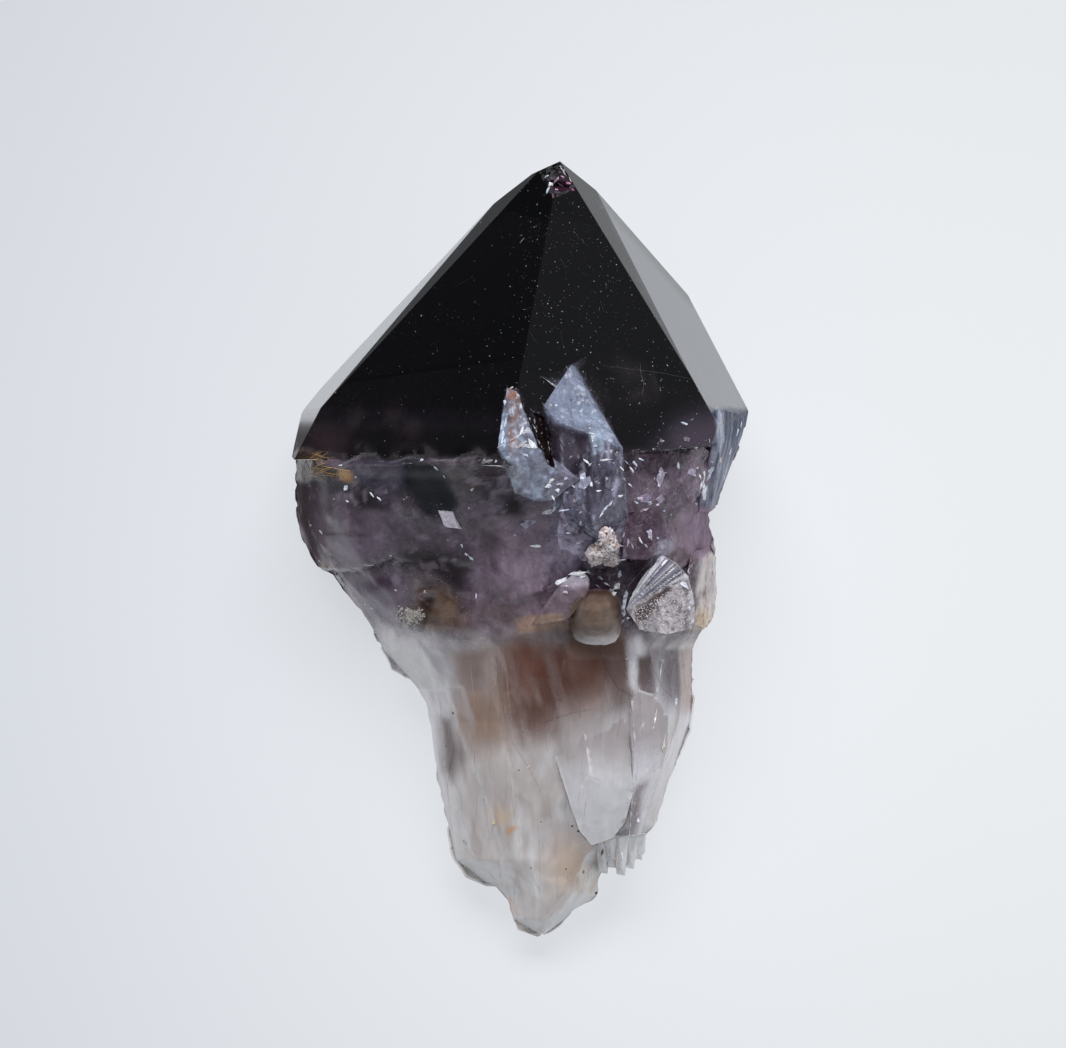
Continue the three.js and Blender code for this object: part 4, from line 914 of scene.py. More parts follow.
# --- the head: smoky black, reddish purple low on the left, thinner and purple low on the right
head_share = share[:, HEAD]
wash(head_share, srgb(12, 11, 14), 1.0, 0.04, 0.0)
mottle = ramp(fbm(F, 3.4, 3, 340), -0.2, 0.5)
wash(head_share * oval(328, 442, 22, 16, 20, 0.95), srgb(46, 31, 36), 0.3)
wash(head_share * zone([(318, 405), (350, 396), (430, 410), (420, 462), (318, 466)], 22) * mottle * 0.8, srgb(44, 32, 38), 0.5)
wash(head_share * zone([(582, 366), (664, 366), (662, 402), (596, 402)], 6) * mottle, srgb(46, 39, 42), 0.5)
wash(head_share * zone([(650, 440), (668, 424), (690, 408), (722, 402), (724, 474), (640, 474)], 16) * to_front, srgb(46, 41, 51), 0.3, 0.07)
wash(head_share * zone([(676, 438), (690, 426), (722, 420), (724, 474), (668, 470)], 13) * to_front, srgb(72, 63, 76), 0.2, 0.07)
wash(head_share * zone([(470, 458), (512, 454), (516, 480), (470, 480)], 7), srgb(56, 49, 52), 0.6)
wash(head_share * ramp(Y + 8 * fbm(F, 3, 3, 346), 452, 461) * to_front * (1 - ramp(X, 590, 620)), srgb(40, 34, 39), 0.12, 0.4)
# under its rim on the right the black thins into the broken surface
fade = ramp(Y + 10 * fbm(F, 4, 3, 345), 440, 464) * head_share * to_front * ramp(X, 600, 640)
wash(fade, srgb(62, 50, 61), 0.3, 0.08, 0.0, 0.6)
# painted reflection: the head's two low side faces, which mirror the pale floor, are painted light grey and made
# clearer
for plane, tone_, thin in ((f4, srgb(128, 133, 140), 0.62), (f6, srgb(120, 124, 130), 0.75)):
    n_part = np.array((plane.n[0], plane.n[1] * CL - plane.n[2] * SL, plane.n[1] * SL + plane.n[2] * CL))
    wash(head_share * ramp(N @ n_part, 0.985, 0.997), tone_, thin, 0.07)
# painted reflection: head faces turned to the right are painted grey-blue, paler lower down
side = head_share * ramp(N[:, 0], 0.55, 0.8) * ramp(Y, 405, 412)
wash(side, srgb(66, 72, 92), 0.1, 0.5, 0.1)
wash(side * ramp(Y, 440, 475), srgb(104, 108, 126), 0.1, 0.5, 0.1)
prism = share[:, PRISM]
lines = fbm(F * (1.0, 0.05, 1.0), 0.9, 3, 350)
down = ramp(Y, 430, 470)[:, None]
for amount_, top_, low_ in ((prism, (68, 74, 94), (106, 110, 126)), (prism * ramp(lines, 0.0, 0.35), (104, 110, 132), (146, 148, 162)), (prism * ramp(-lines, 0.1, 0.45), (44, 48, 64), (76, 78, 94))):
    wash(amount_, srgb(*top_) * (1 - down) + srgb(*low_) * down, 0.12, 0.5, 0.1, 0.5)
wash(prism * (1 - ramp(X, 708, 713)) * (1 - ramp(Y, 476, 496)), srgb(84, 70, 83), 0.2, 0.1, 0.3)
wash((head_share + prism) * zone([(717, 408), (723, 412), (724, 440), (720, 454), (717, 440)], 1.5, wander=0.1), srgb(150, 156, 174), 0.2, 0.14)
under_prism = zone([(686, 512), (694, 505), (713, 508), (714, 550), (700, 558), (686, 552)], 2.5, wander=0.5, front=False)
wash(under_prism, srgb(126, 109, 124), 0.1, 0.7, 0.0, 0.8)
# painted reflection: head faces turned to the left are painted grey, a darker and duller grey lower down
wash(head_share * ramp(-N[:, 0], 0.45, 0.75) * ramp(Y, 406, 414) * (1 - ramp(Y, 424, 436)), srgb(120, 118, 126), 0.4, 0.18)
wash(head_share * ramp(-N[:, 0], 0.45, 0.75) * ramp(Y, 418, 430), srgb(74, 68, 71), 0.06, 0.85)
wash(head_share * zone([(297, 446), (311, 447), (320, 456), (320, 466), (296, 466)], 3), srgb(70, 58, 54), 0.2, 0.3)
pit = share[:, PIT]
wash(pit * ramp(Y, 380, 400), srgb(44, 31, 30), 0.7, 0.2, 0.2)
wash(pit * ramp(Y, 540, 560), srgb(40, 30, 34), 0.7, 0.12, 0.5)
wash(pit * (1 - ramp(Y, 200, 220)), srgb(100, 64, 88), 0.7, 0.08, 0.9)
# the amber, veined corner at the left
amber = zone([(293, 452), (304, 448), (318, 466), (348, 470), (352, 482), (330, 478), (306, 484), (294, 482)], 3)
wash(share[:, STEM] * (1 - ramp(Y + 4 * vnoise(F, 3, 26), 452, 463)) * (1 - ramp(X, 560, 600)) * to_front, srgb(26, 21, 26), 0.1, 0.3)
wash(amber, srgb(62, 46, 34), 0.2, 0.2, 0.1)
wash(amber * ramp(fbm(F, 1.6, 3, 351), 0.0, 0.4), srgb(40, 32, 32), 0.2)
wash(zone([(338, 470), (350, 472), (350, 482), (340, 481)], 2, wander=0.3), srgb(184, 140, 88), 0.3, 0.14)
wash(zone([(316, 472), (340, 483), (348, 490), (330, 492), (314, 486)], 4), srgb(34, 31, 44), 0.7)

# nothing leaves the box of the solid
edge_low, edge_high = np.array(cad_box[0]) + 3e-5, np.array(cad_box[1]) - 3e-5
set_coords(me, np.clip(P, (*edge_low[:2], 0.0), edge_high))

facing_eye = N[:, 2] * CL - N[:, 1] * SL
# painted light: root faces seen edge-on are painted pale grey where they would go dark
edge_on = root * (1 - 0.8 * patch) * (1 - ramp(facing_eye, 0.25, 0.8)) * (1 - 0.75 * ramp(X, 655, 670) * (1 - ramp(Y, 705, 725)))
wash(edge_on * ramp(facing_eye, -0.3, -0.1), srgb(190, 188, 190), 0.1, 0.5)
wash(root * ramp(X, 676, 686) * (1 - ramp(Y, 700, 720)) * 0.6, srgb(150, 132, 124), 0.25, 0.3)
# painted light: root faces turned downwards, away from the lamp above, are painted near white instead of falling into
# shade
wash(root * (1 - patch) * ramp(-N[:, 1], 0.35, 0.7) * (1 - ramp(facing_eye, 0.4, 0.75)), srgb(240, 237, 236), 0.35, 0.6)
tint = np.clip(tint * (1.3 + 0.35 * root[:, None] - 0.3 * head_share[:, None]), 0, 0.92)
deep_tint = ramp(-tint @ (0.3, 0.6, 0.1), -0.09, -0.02)
dull = np.clip((1 - head_share) * (1 - root) * (0.25 + 0.65 * deep_tint + 0.9 * (1 - ramp(X, 312, 345)) * ramp(Y, 448, 456))
               + head_share * (ramp(Y, 452, 457) * (1 - ramp(X, 600, 640)) + ramp(-N[:, 0], 0.45, 0.75) * ramp(Y, 424, 436)) + 0.7 * prism + 0.7 * side + under_prism + share[:, LOBE] * ramp(X, 566, 570) * ramp(Y, 624, 640), 0, 1)
colour_layer = me.attributes.new("tint", "FLOAT_COLOR", "POINT")
colour_layer.data.foreach_set("color", np.concatenate((tint, np.ones((len(P), 1))), 1).ravel())
for name, values in (("clear", clear), ("rough", rough), ("headness", head_share), ("rootness", root), ("sparkle", sparkle), ("calm", calm), ("dull", dull)):
    layer = me.attributes.new(name, "FLOAT", "POINT")
    layer.data.foreach_set("value", np.ascontiguousarray(values, float))

# sharp edges: every real edge on the crystal faces, only strong ones on the broken surfaces
bm = bmesh.new()
bm.from_mesh(me)
crisp = {HEAD, SMALL, PRISM}
for e in bm.edges:
    if len(e.link_faces) == 2:
        limit = 3.0 if all(f.material_index in crisp for f in e.link_faces) else 30.0
        e.smooth = e.calc_face_angle() < math.radians(limit)
for f in bm.faces:
    f.smooth = True
    f.material_index = 0
bm.to_mesh(me)
bm.free()
me.materials.clear()

# ---------------------------------------------------------------- small things on and in the surface
surface = BVHTree.FromPolygons([tuple(v) for v in coords(me)], [tuple(q.vertices) for q in me.polygons])
eye = Vector(place((0.0, 0.0, EYE)))


def touch(x, y):
    """Where the drawing's point x, y meets the crystal, and the surface's normal there."""
    aim = Vector(place(flat((x, y, 0.0)))) - eye
    hit, normal, _, _ = surface.ray_cast(eye, aim.normalized())
    return (hit, normal) if hit is not None else (None, None)


right_axis = Vector(place((1.0, 0.0, 0.0)) - place((0.0, 0.0, 0.0))).normalized()
down_axis = -Vector(place((0.0, 1.0, 0.0)) - place((0.0, 0.0, 0.0))).normalized()
toward = Vector(axis).normalized()


class Heap:
    """Many small closed bits gathered into one mesh, each with its own tint."""

    def __init__(self):
        self.v, self.f, self.c = [], [], []

    def bit(self, verts, faces, colour):
        k = len(self.v)
        self.v += [tuple(q) for q in verts]
        self.f += [tuple(k + i for i in f) for f in faces]
        self.c += [tuple(float(t) for t in colour) + (1.0,)] * len(verts)

    def chip(self, x, y, length, width, angle, colour, thick=0.22, proud=0.1, tilt=14.0, outline=None):
        """A thin broken flake, sizes in drawing units except thick and proud, which are mm."""
        hit, normal = touch(x, y)
        if hit is None:
            return
        n = (normal + 0.6 * toward).normalized()
        n = (n + math.radians(tilt) * Vector(rng.uniform(-1, 1, 3))).normalized()
        a = math.radians(angle)
        u = (right_axis * math.cos(a) + down_axis * math.sin(a))
        u = (u - n * u.dot(n)).normalized()
        w = n.cross(u).normalized()
        count = int(rng.choice([4, 5, 5, 6, 7])) if outline is None else len(outline)
        if outline is None:
            at_angle = (np.arange(count) + rng.uniform(-0.38, 0.38, count)) / count * 2 * math.pi
            r = rng.uniform(0.4, 1.3, count)
            ring = [(math.cos(t) * q * length / 2, math.sin(t) * q * width / 2) for t, q in zip(at_angle, r)]
        else:
            ring = [((px - x), (py - y)) for px, py in outline]
            u = (right_axis - n * right_axis.dot(n)).normalized()
            w = (down_axis - n * down_axis.dot(n)).normalized()
        k = UNIT / 1000
        top = [hit + n * (proud / 1000) + (u * px + w * py) * k * 0.86 for px, py in ring]
        base = [hit + n * ((proud - thick * 0.45) / 1000) + (u * px + w * py) * k for px, py in ring]
        deep = [hit + n * ((proud - thick) / 1000) + (u * px + w * py) * k * 0.8 for px, py in ring]
        crown = hit + n * ((proud + 0.05) / 1000) + (u * rng.uniform(-0.2, 0.2) * length + w * rng.uniform(-0.2, 0.2) * width) * k
        faces = []
        flip = u.cross(w).dot(n) < 0
        for i in range(count):
            j = (i + 1) % count
            faces += [(i, j, count * 3), (count + i, count + j, j, i), (2 * count + i, 2 * count + j, count + j, count + i)]
        faces.append(tuple(2 * count + i for i in reversed(range(count))))
        if flip:
            faces = [tuple(reversed(f)) for f in faces]
        self.bit(top + base + deep + [crown], faces, colour)

    def grain(self, centre, radius, colour, squash=1.0, n=None):
        """A small lumpy grain."""
        t = (1 + 5**0.5) / 2
        ico = np.array([(-1, t, 0), (1, t, 0), (-1, -t, 0), (1, -t, 0), (0, -1, t), (0, 1, t), (0, -1, -t), (0, 1, -t), (t, 0, -1), (t, 0, 1), (-t, 0, -1), (-t, 0, 1)]) / 1.9
        ico = ico * rng.uniform(0.72, 1.22, (12, 1)) * radius
        q = Matrix.Rotation(rng.uniform(0, 6.28), 3, Vector(rng.uniform(-1, 1, 3)).normalized())
        pts = [q @ Vector(v) for v in ico]
        if n is not None:
            pts = [v - n * v.dot(n) * (1 - squash) for v in pts]
        faces = [(0, 11, 5), (0, 5, 1), (0, 1, 7), (0, 7, 10), (0, 10, 11), (1, 5, 9), (5, 11, 4), (11, 10, 2), (10, 7, 6), (7, 1, 8),
                 (3, 9, 4), (3, 4, 2), (3, 2, 6), (3, 6, 8), (3, 8, 9), (4, 9, 5), (2, 4, 11), (6, 2, 10), (8, 6, 7), (9, 8, 1)]
        self.bit([Vector(centre) + v for v in pts], faces, colour)

    def strand(self, points, width, colour, lift=0.02):
        """A thin line over the surface through drawing points, width in mm, as a low ridge."""
        path = []
        for (x0, y0), (x1, y1) in zip(points, points[1:]):
            n = max(2, int(math.hypot(x1 - x0, y1 - y0) / 2.0))
            path += [(x0 + (x1 - x0) * k / n, y0 + (y1 - y0) * k / n) for k in range(n)]
        path.append(points[-1])
        rings = []
        for i, (x, y) in enumerate(path):
            hit, normal = touch(x, y)
            if hit is None:
                continue
            if rings and (hit - rings[-1][4]).length > 0.0035:
                break
            a = path[max(i - 1, 0)]
            b = path[min(i + 1, len(path) - 1)]
            d = (right_axis * (b[0] - a[0]) + down_axis * (b[1] - a[1]))
            d = (d - normal * d.dot(normal)).normalized()
            w = normal.cross(d) * (width / 2000) * (0.35 + 0.65 * math.sin(math.pi * (i + 0.5) / len(path))) * rng.uniform(0.8, 1.2)
            rings.append((hit + w - normal * 0.00004, hit + normal * (lift + width * 0.3) / 1000, hit - w - normal * 0.00004, hit - normal * (width * 0.5 / 1000 + 0.00005), hit))
        if len(rings) < 2:
            return
        verts, faces = [], []
        for r in rings:
            verts += list(r[:4])
        for i in range(len(rings) - 1):
            for k in range(4):
                a, b = 4 * i + k, 4 * i + (k + 1) % 4
                faces.append((a, a + 4, b + 4, b))
        faces += [(0, 1, 2, 3), tuple(4 * (len(rings) - 1) + k for k in (3, 2, 1, 0))]
        self.bit(verts, faces, colour)

    def build(self, name, material):
        ob = new_object(name, np.clip(np.array(self.v), (*edge_low[:2], 0.0), edge_high), self.f)
        layer = ob.data.attributes.new("tint", "FLOAT_COLOR", "POINT")
        layer.data.foreach_set("color", np.array(self.c, float).ravel())
        b = bmesh.new()
        b.from_mesh(ob.data)
        bmesh.ops.recalc_face_normals(b, faces=b.faces)
        b.to_mesh(ob.data)
        b.free()
        ob.data.materials.append(material)
        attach(ob, "root")
        return ob


WHITE, ICE, LILAC, BEIGE, PINK = srgb(246, 248, 253), srgb(206, 214, 232), srgb(206, 192, 214), srgb(208, 194, 178), srgb(232, 204, 222)
# broken flakes and slivers on the surface; the white and icy ones are painted glints as well as chips
flakes_and_glints = Heap()
# left of the middle
for x, y, length, width, angle, colour in [
    (341, 465, 11, 3.2, 0, WHITE), (347, 487, 10, 6, -20, ICE), (347, 501, 4, 2.4, 10, WHITE), (334, 499, 3, 2.4, 0, ICE), (372, 494, 9, 2.6, 55, WHITE),
    (380, 499, 7, 3.0, 50, WHITE), (386, 491, 7, 7, 0, srgb(104, 98, 108)), (321, 532, 7, 2.4, 38, WHITE), (311, 525, 4, 2, 40, ICE), (391, 556, 4, 2, -20, BEIGE),
    (369, 565, 9, 2.2, 0, WHITE), (425, 592, 4, 4, 0, BEIGE), (476, 596, 9, 2, -80, ICE), (353, 595, 4, 4, 30, BEIGE), (372, 608, 6, 2.4, -10, ICE),
    (366, 604, 3, 2, 0, WHITE), (396, 590, 4, 2.5, 0, LILAC), (386, 575, 8, 3, 25, srgb(120, 108, 122)), (326, 566, 5, 3, 60, srgb(196, 150, 118)), (320, 561, 6, 3, 30, LILAC),
    (462, 546, 6, 2.4, 70, ICE), (466, 554, 7, 3, 50, LILAC), (471, 558, 8, 3, 40, ICE), (448, 540, 5, 3, 0, srgb(128, 122, 130)), (472, 489, 5, 5, 0, ICE),
    (469, 508, 7, 2.6, 55, ICE), (422, 460, 6, 3, 0, ICE), (436, 468, 8, 2.4, 45, ICE), (444, 476, 6, 2, 55, ICE), (356, 477, 4, 4, 0, LILAC),
    (389, 614, 10, 7, 0, srgb(150, 142, 150)), (381, 620, 6, 5, 20, srgb(160, 150, 156)), (484, 461, 8, 7, 0, srgb(126, 118, 122)), (496, 461, 5, 4, 0, ICE), (503, 467, 4, 3, 0, ICE),
    # round the blade and the small crystal
    (522, 431, 5, 12, 20, WHITE), (532, 444, 7, 14, -35, WHITE), (505, 403, 4, 9, 10, ICE), (511, 388, 7, 3, -30, BEIGE), (518, 395, 5, 3, 30, ICE), (505, 425, 3.4, 16, 12, ICE),
    (502, 441, 3.4, 14, 8, WHITE), (525, 455, 6, 4, 20, ICE), (548, 462, 7, 3, 45, LILAC), (551, 480, 9, 6, -60, WHITE), (557, 490, 12, 4, 40, WHITE), (549, 486, 7, 5, 0, WHITE), (553, 497, 8, 4, 60, WHITE), (560, 484, 9, 3, 10, ICE),
    (573, 486, 13, 2.2, 40, WHITE), (566, 478, 10, 5, 20, ICE), (583, 478, 6, 10, 10, ICE), (591, 484, 4, 8, 0, WHITE), (587, 462, 9, 3, 50, WHITE), (590, 465, 6, 2.4, -30, ICE),
    (604, 460, 15, 1.8, -6, WHITE), (593, 437, 7, 12, 10, WHITE), (596, 446, 5, 3, 0, ICE), (620, 496, 7, 3, -10, WHITE), (610, 504, 12, 3, -42, ICE), (604, 510, 12, 3, -42, ICE),
    (598, 491, 6, 3, 0, WHITE), (612, 490, 3, 3, 0, ICE), (601, 515, 8, 2, -42, WHITE), (555, 508, 6, 12, 20, WHITE), (547, 512, 16, 7, -16, WHITE), (531, 521, 18, 6, -16, ICE), (556, 503, 7, 12, 20, ICE),
    (524, 524, 7, 3, 0, LILAC), (537, 546, 16, 6, -8, WHITE), (552, 522, 5, 3, 30, ICE), (566, 510, 14, 2, -6, ICE), (568, 533, 6, 2, 0, ICE), (581, 522, 3, 9, 10, ICE),
    (557, 535, 5, 2, 0, ICE), (515, 535, 5, 3, 30, LILAC), (579, 543, 6, 4, 0, LILAC), (571, 400, 3, 2, 40, srgb(60, 56, 66)), (556, 405, 4, 3, 0, ICE), (580, 412, 3, 2, 0, ICE),
    # under the crumb and round the lobe
    (577, 574, 26, 8, -8, WHITE), (562, 581, 18, 6, -14, WHITE), (588, 572, 8, 6, 20, WHITE), (566, 586, 12, 3, 0, PINK), (582, 577, 8, 7, 0, WHITE), (566, 592, 8, 4, 0, LILAC), (600, 578, 9, 3, 40, ICE),
    (606, 584, 8, 3, 30, WHITE), (598, 586, 9, 2, 40, PINK), (617, 585, 20, 8, -42, WHITE), (613, 594, 9, 6, -20, WHITE), (620, 574, 6, 12, 20, ICE), (611, 590, 8, 5, 30, WHITE), (622, 560, 16, 2, -4, ICE),
    (624, 612, 6, 13, 10, ICE), (622, 622, 9, 5, 0, ICE), (628, 618, 5, 4, 0, WHITE),
    # right of the middle
    (621, 468, 10, 2.4, 45, WHITE), (631, 469, 9, 3.2, 40, WHITE), (635, 464, 10, 2.4, 50, ICE), (640, 459, 10, 3, 20, ICE), (626, 462, 9, 1.8, 45, ICE), (630, 485, 13, 2.0, 42, WHITE),
    (624, 479, 8, 1.8, 42, ICE), (640, 498, 11, 5, 0, LILAC), (648, 502, 8, 3, 10, ICE), (636, 502, 6, 3, 30, ICE), (661, 474, 5, 9, 0, ICE), (659, 483, 4, 8, 0, LILAC),
    (678, 465, 4, 9, 0, ICE), (692, 474, 10, 4, 35, WHITE), (697, 468, 5, 3, 0, ICE), (701, 484, 3.4, 12, 10, WHITE), (704, 496, 4, 13, -14, WHITE), (700, 476, 5, 6, 0, WHITE),
    (709, 476, 3.4, 12, 30, WHITE), (713, 469, 8, 3, -50, ICE), (706, 488, 3, 8, 0, ICE), (696, 504, 4, 3, 0, WHITE), (671, 515, 4, 3, 0, WHITE), (651, 504, 6, 3, 0, ICE),
    (658, 505, 5, 3, 0, LILAC), (664, 511, 4, 2, 0, ICE), (649, 532, 5, 13, -14, ICE), (641, 541, 13, 2.4, 45, WHITE), (646, 546, 7, 2, 40, ICE), (628, 541, 4, 12, 10, LILAC),
    (624, 534, 3, 12, 5, ICE), (632, 545, 10, 2, 60, ICE), (620, 545, 10, 2.4, 40, LILAC), (658, 538, 4, 3, 0, ICE), (676, 530, 3, 10, 10, srgb(140, 126, 140)), (686, 528, 3, 4, 0, LILAC),
    (683, 423, 9, 4.4, 15, ICE), (692, 420, 8, 4, -30, srgb(116, 108, 116)), (662, 441, 9, 5, 0, srgb(118, 110, 118)), (688, 440, 10, 7, 0, srgb(110, 98, 110)), (720, 460, 4, 7, 0, BEIGE),
    (712, 462, 5, 3, 0, LILAC), (741, 424, 3, 8, 0, WHITE), (737, 433, 3, 10, 15, ICE), (730, 452, 3, 10, 15, ICE), (724, 478, 3, 12, 10, ICE),
    # by the tip: a bruise with bright streaks
    (551, 184, 4, 9, 30, WHITE), (556, 180, 10, 2.6, -60, PINK), (562, 186, 12, 3.4, 30, PINK), (568, 183, 7, 3, 0, srgb(190, 120, 160)), (548, 190, 3, 8, 20, ICE), (557, 190, 8, 2, 40, PINK),
    (573, 190, 8, 3, 20, srgb(150, 90, 130)), (546, 177, 8, 2, -30, ICE), (563, 177, 6, 3, 0, srgb(206, 150, 180)), (553, 196, 3, 6, 0, srgb(150, 96, 104)),
    # the root; the long white slivers high on its right are painted glints
    (660, 672, 4, 26, 5, WHITE), (657, 690, 3, 10, 0, WHITE),
    (662, 660, 7, 4, 0, ICE), (638, 820, 4, 8, 0, WHITE), (627, 828, 10, 2, -30, WHITE), (655, 720, 3, 22, 10, srgb(226, 222, 228)), (664, 742, 3, 26, 8, srgb(222, 214, 210)), (676, 702, 5, 9, 0, WHITE),
    (606, 860, 3, 16, 8, WHITE), (614, 858, 3, 16, 4, srgb(226, 206, 200)), (622, 856, 3, 18, 0, WHITE), (631, 853, 3, 16, -4, WHITE), (602, 852, 3, 10, 0, srgb(120, 96, 90)),
    (494, 822, 6, 7, 0, srgb(204, 190, 160)), (466, 843, 12, 5, 30, srgb(196, 196, 196)), (583, 872, 4, 7, 20, srgb(196, 130, 60)),
]:
    flakes_and_glints.chip(x, y, length, width, angle, colour * rng.uniform(0.85, 1.1))
flakes_and_glints.chip(449, 518, 20, 20, 0, srgb(206, 200, 212), outline=[(439, 510), (456, 507), (457, 517), (461, 528), (446, 528), (443, 526), (441, 516)], thick=1.3, proud=0.6, tilt=1)
flakes_and_glints.chip(341, 579, 14, 14, 0, srgb(190, 186, 194), outline=[(333, 576), (349, 571), (348, 578), (342, 588), (337, 585)], thick=0.3, proud=0.12, tilt=3)
flakes_and_glints.chip(327, 550, 14, 14, 0, srgb(150, 144, 150), outline=[(319, 545), (328, 546), (336, 553), (331, 556), (322, 554)], thick=0.26, proud=0.1, tilt=3)
flakes_and_glints.chip(334, 561, 14, 10, 0, srgb(140, 132, 140), outline=[(329, 557), (339, 556), (343, 562), (332, 565)], thick=0.26, proud=0.1, tilt=3)
for outline_, tone_ in (
    ([(657, 470), (661, 467), (665, 474), (663, 484), (659, 489), (656, 480)], (160, 150, 170)), ([(698, 468), (703, 471), (702, 480), (706, 486), (709, 499), (706, 502), (702, 492), (698, 480)], (236, 238, 248)),
    ([(706, 469), (713, 467), (711, 478), (706, 482)], (190, 194, 210)), ([(638, 496), (646, 493), (653, 497), (648, 503), (639, 502)], (138, 126, 148)), ([(654, 499), (661, 494), (666, 500), (660, 504)], (146, 134, 154)),
    ([(688, 466), (697, 470), (695, 477), (686, 474)], (150, 144, 162)), ([(648, 526), (652, 530), (652, 541), (648, 538)], (176, 172, 190)), ([(676, 578), (687, 583), (690, 590), (679, 584)], (228, 228, 238)),
    ([(688, 590), (691, 592), (691, 612), (688, 610)], (200, 200, 212)), ([(623, 596), (626, 588), (628, 592), (625, 612), (622, 610)], (214, 216, 230)), ([(520, 524), (538, 515), (541, 519), (526, 529)], (170, 166, 186)),
    ([(580, 480), (590, 476), (592, 482), (584, 490), (578, 488)], (150, 150, 172)), ([(604, 476), (611, 478), (611, 490), (605, 488)], (96, 92, 108)), ([(568, 496), (576, 494), (577, 506), (570, 508)], (100, 94, 110))):
    mx, my = np.mean(outline_, 0)
    flakes_and_glints.chip(mx, my, 12, 12, 0, srgb(*tone_), outline=outline_, thick=0.5, proud=0.16, tilt=6)
# scattered slivers, most on the right of the middle and on the small crystal's sides
for x0, x1, y0, y1, count, least, most, tone in (
    (616, 712, 455, 560, 34, 0.8, 4.4, srgb(138, 126, 142)), (548, 626, 455, 565, 46, 0.8, 5, srgb(150, 148, 168)), (470, 560, 500, 620, 22, 0.7, 3, srgb(136, 124, 138)),
    (360, 480, 460, 620, 16, 0.7, 2.4, srgb(112, 106, 114)), (640, 692, 590, 630, 36, 0.7, 2.4, srgb(176, 172, 180)), (300, 360, 480, 600, 9, 0.7, 2.4, srgb(124, 116, 124)),
    (626, 690, 650, 830, 20, 0.8, 4, srgb(190, 188, 194))):
    for _ in range(count):
        size_ = least + (most - least) * rng.random() ** 3
        flakes_and_glints.chip(rng.uniform(x0, x1), rng.uniform(y0, y1), size_ * rng.uniform(1, 2.6), size_ * rng.uniform(0.35, 0.9), rng.choice([45, -45, 80, rng.uniform(0, 180)]) + rng.uniform(-12, 12),
                    tone * rng.uniform(0.5, 1.6), thick=0.14, proud=0.04, tilt=22)

# pale crust and the grainy crumb
crust = Heap()
for _ in range(1500):
    x, y = rng.uniform(628, 694), rng.uniform(584, 632)
    if outline_distance([(632, 612), (652, 600), (672, 588), (688, 592), (691, 626), (640, 630)], np.array([x]), np.array([y]))[0] > 0:
        continue
    hit, normal = touch(x, y)
    if hit is not None:
        crust.grain(hit, rng.uniform(0.05, 0.15) / 1000, srgb(214, 206, 210) * rng.choice([0.4, 0.8, 1.0, 1.25]), 0.7, normal)
for _ in range(700):
    x, y = rng.uniform(300, 712), rng.uniform(455, 628)
    hit, normal = touch(x, y)
    if hit is not None and fbm(np.array([[x / 6, y / 6, 0.0]]), 5, 2, 77)[0] > -0.1:
        crust.grain(hit, rng.uniform(0.03, 0.09) / 1000, srgb(176, 168, 180) * rng.uniform(0.4, 1.2), 0.7, normal)
for _ in range(420):
    x, y = 412 + 13 * rng.normal() * 0.6, 615.5 + 5.2 * rng.normal() * 1.0
    if outline_distance([(398, 606), (406, 605), (412, 611), (421, 608), (426, 617), (420, 623), (410, 628), (400, 626), (397, 615)], np.array([x]), np.array([y]))[0] > 0.5:
        continue
    hit, normal = touch(x, y)
    if hit is not None:
        crust.grain(hit + normal * rng.uniform(-0.0001, 0.0001), rng.uniform(0.10, 0.30) / 1000, srgb(186, 180, 172) * rng.uniform(0.6, 1.2), 0.5, normal)
CRUMB = [(600, 530), (606, 526), (613, 530), (618, 545), (620, 562), (612, 567), (602, 563), (592, 566), (586, 553), (591, 545), (597, 543)]
for _ in range(2600):
    x, y = rng.uniform(585, 621), rng.uniform(526, 568)
    inside = -float(outline_distance(CRUMB, np.array([x]), np.array([y]))[0])
    if inside < 0.2:
        continue
    hit, normal = touch(x, y)
    if hit is None:
        continue
    top = 2.1 * min(1.0, inside / 8) ** 0.5
    bright = rng.choice([0, 1, 2, 3], p=[0.45, 0.33, 0.17, 0.05])
    colour = (srgb(250, 243, 246), srgb(238, 224, 222), srgb(206, 182, 174), srgb(112, 84, 80))[bright] * rng.uniform(0.85, 1.1)
    crust.grain(hit + toward * (rng.uniform(0.3 * top, top) / 1000), rng.uniform(0.13, 0.36) / 1000 * (1.7 if rng.random() < 0.035 else 1.0), colour)
for x, y, r in ((453, 713, 0.22), (578, 831, 0.22), (596, 893, 0.34), (447, 822, 0.2), (446, 746, 0.16), (566, 869, 0.18), (519, 770, 0.14), (560, 700, 0.14), (541, 822, 0.14), (484, 800, 0.14), (572, 826, 0.2), (531, 868, 0.14)):
    hit, normal = touch(x, y)
    if hit is not None:
        crust.grain(hit, r / 1000, srgb(54, 46, 44))
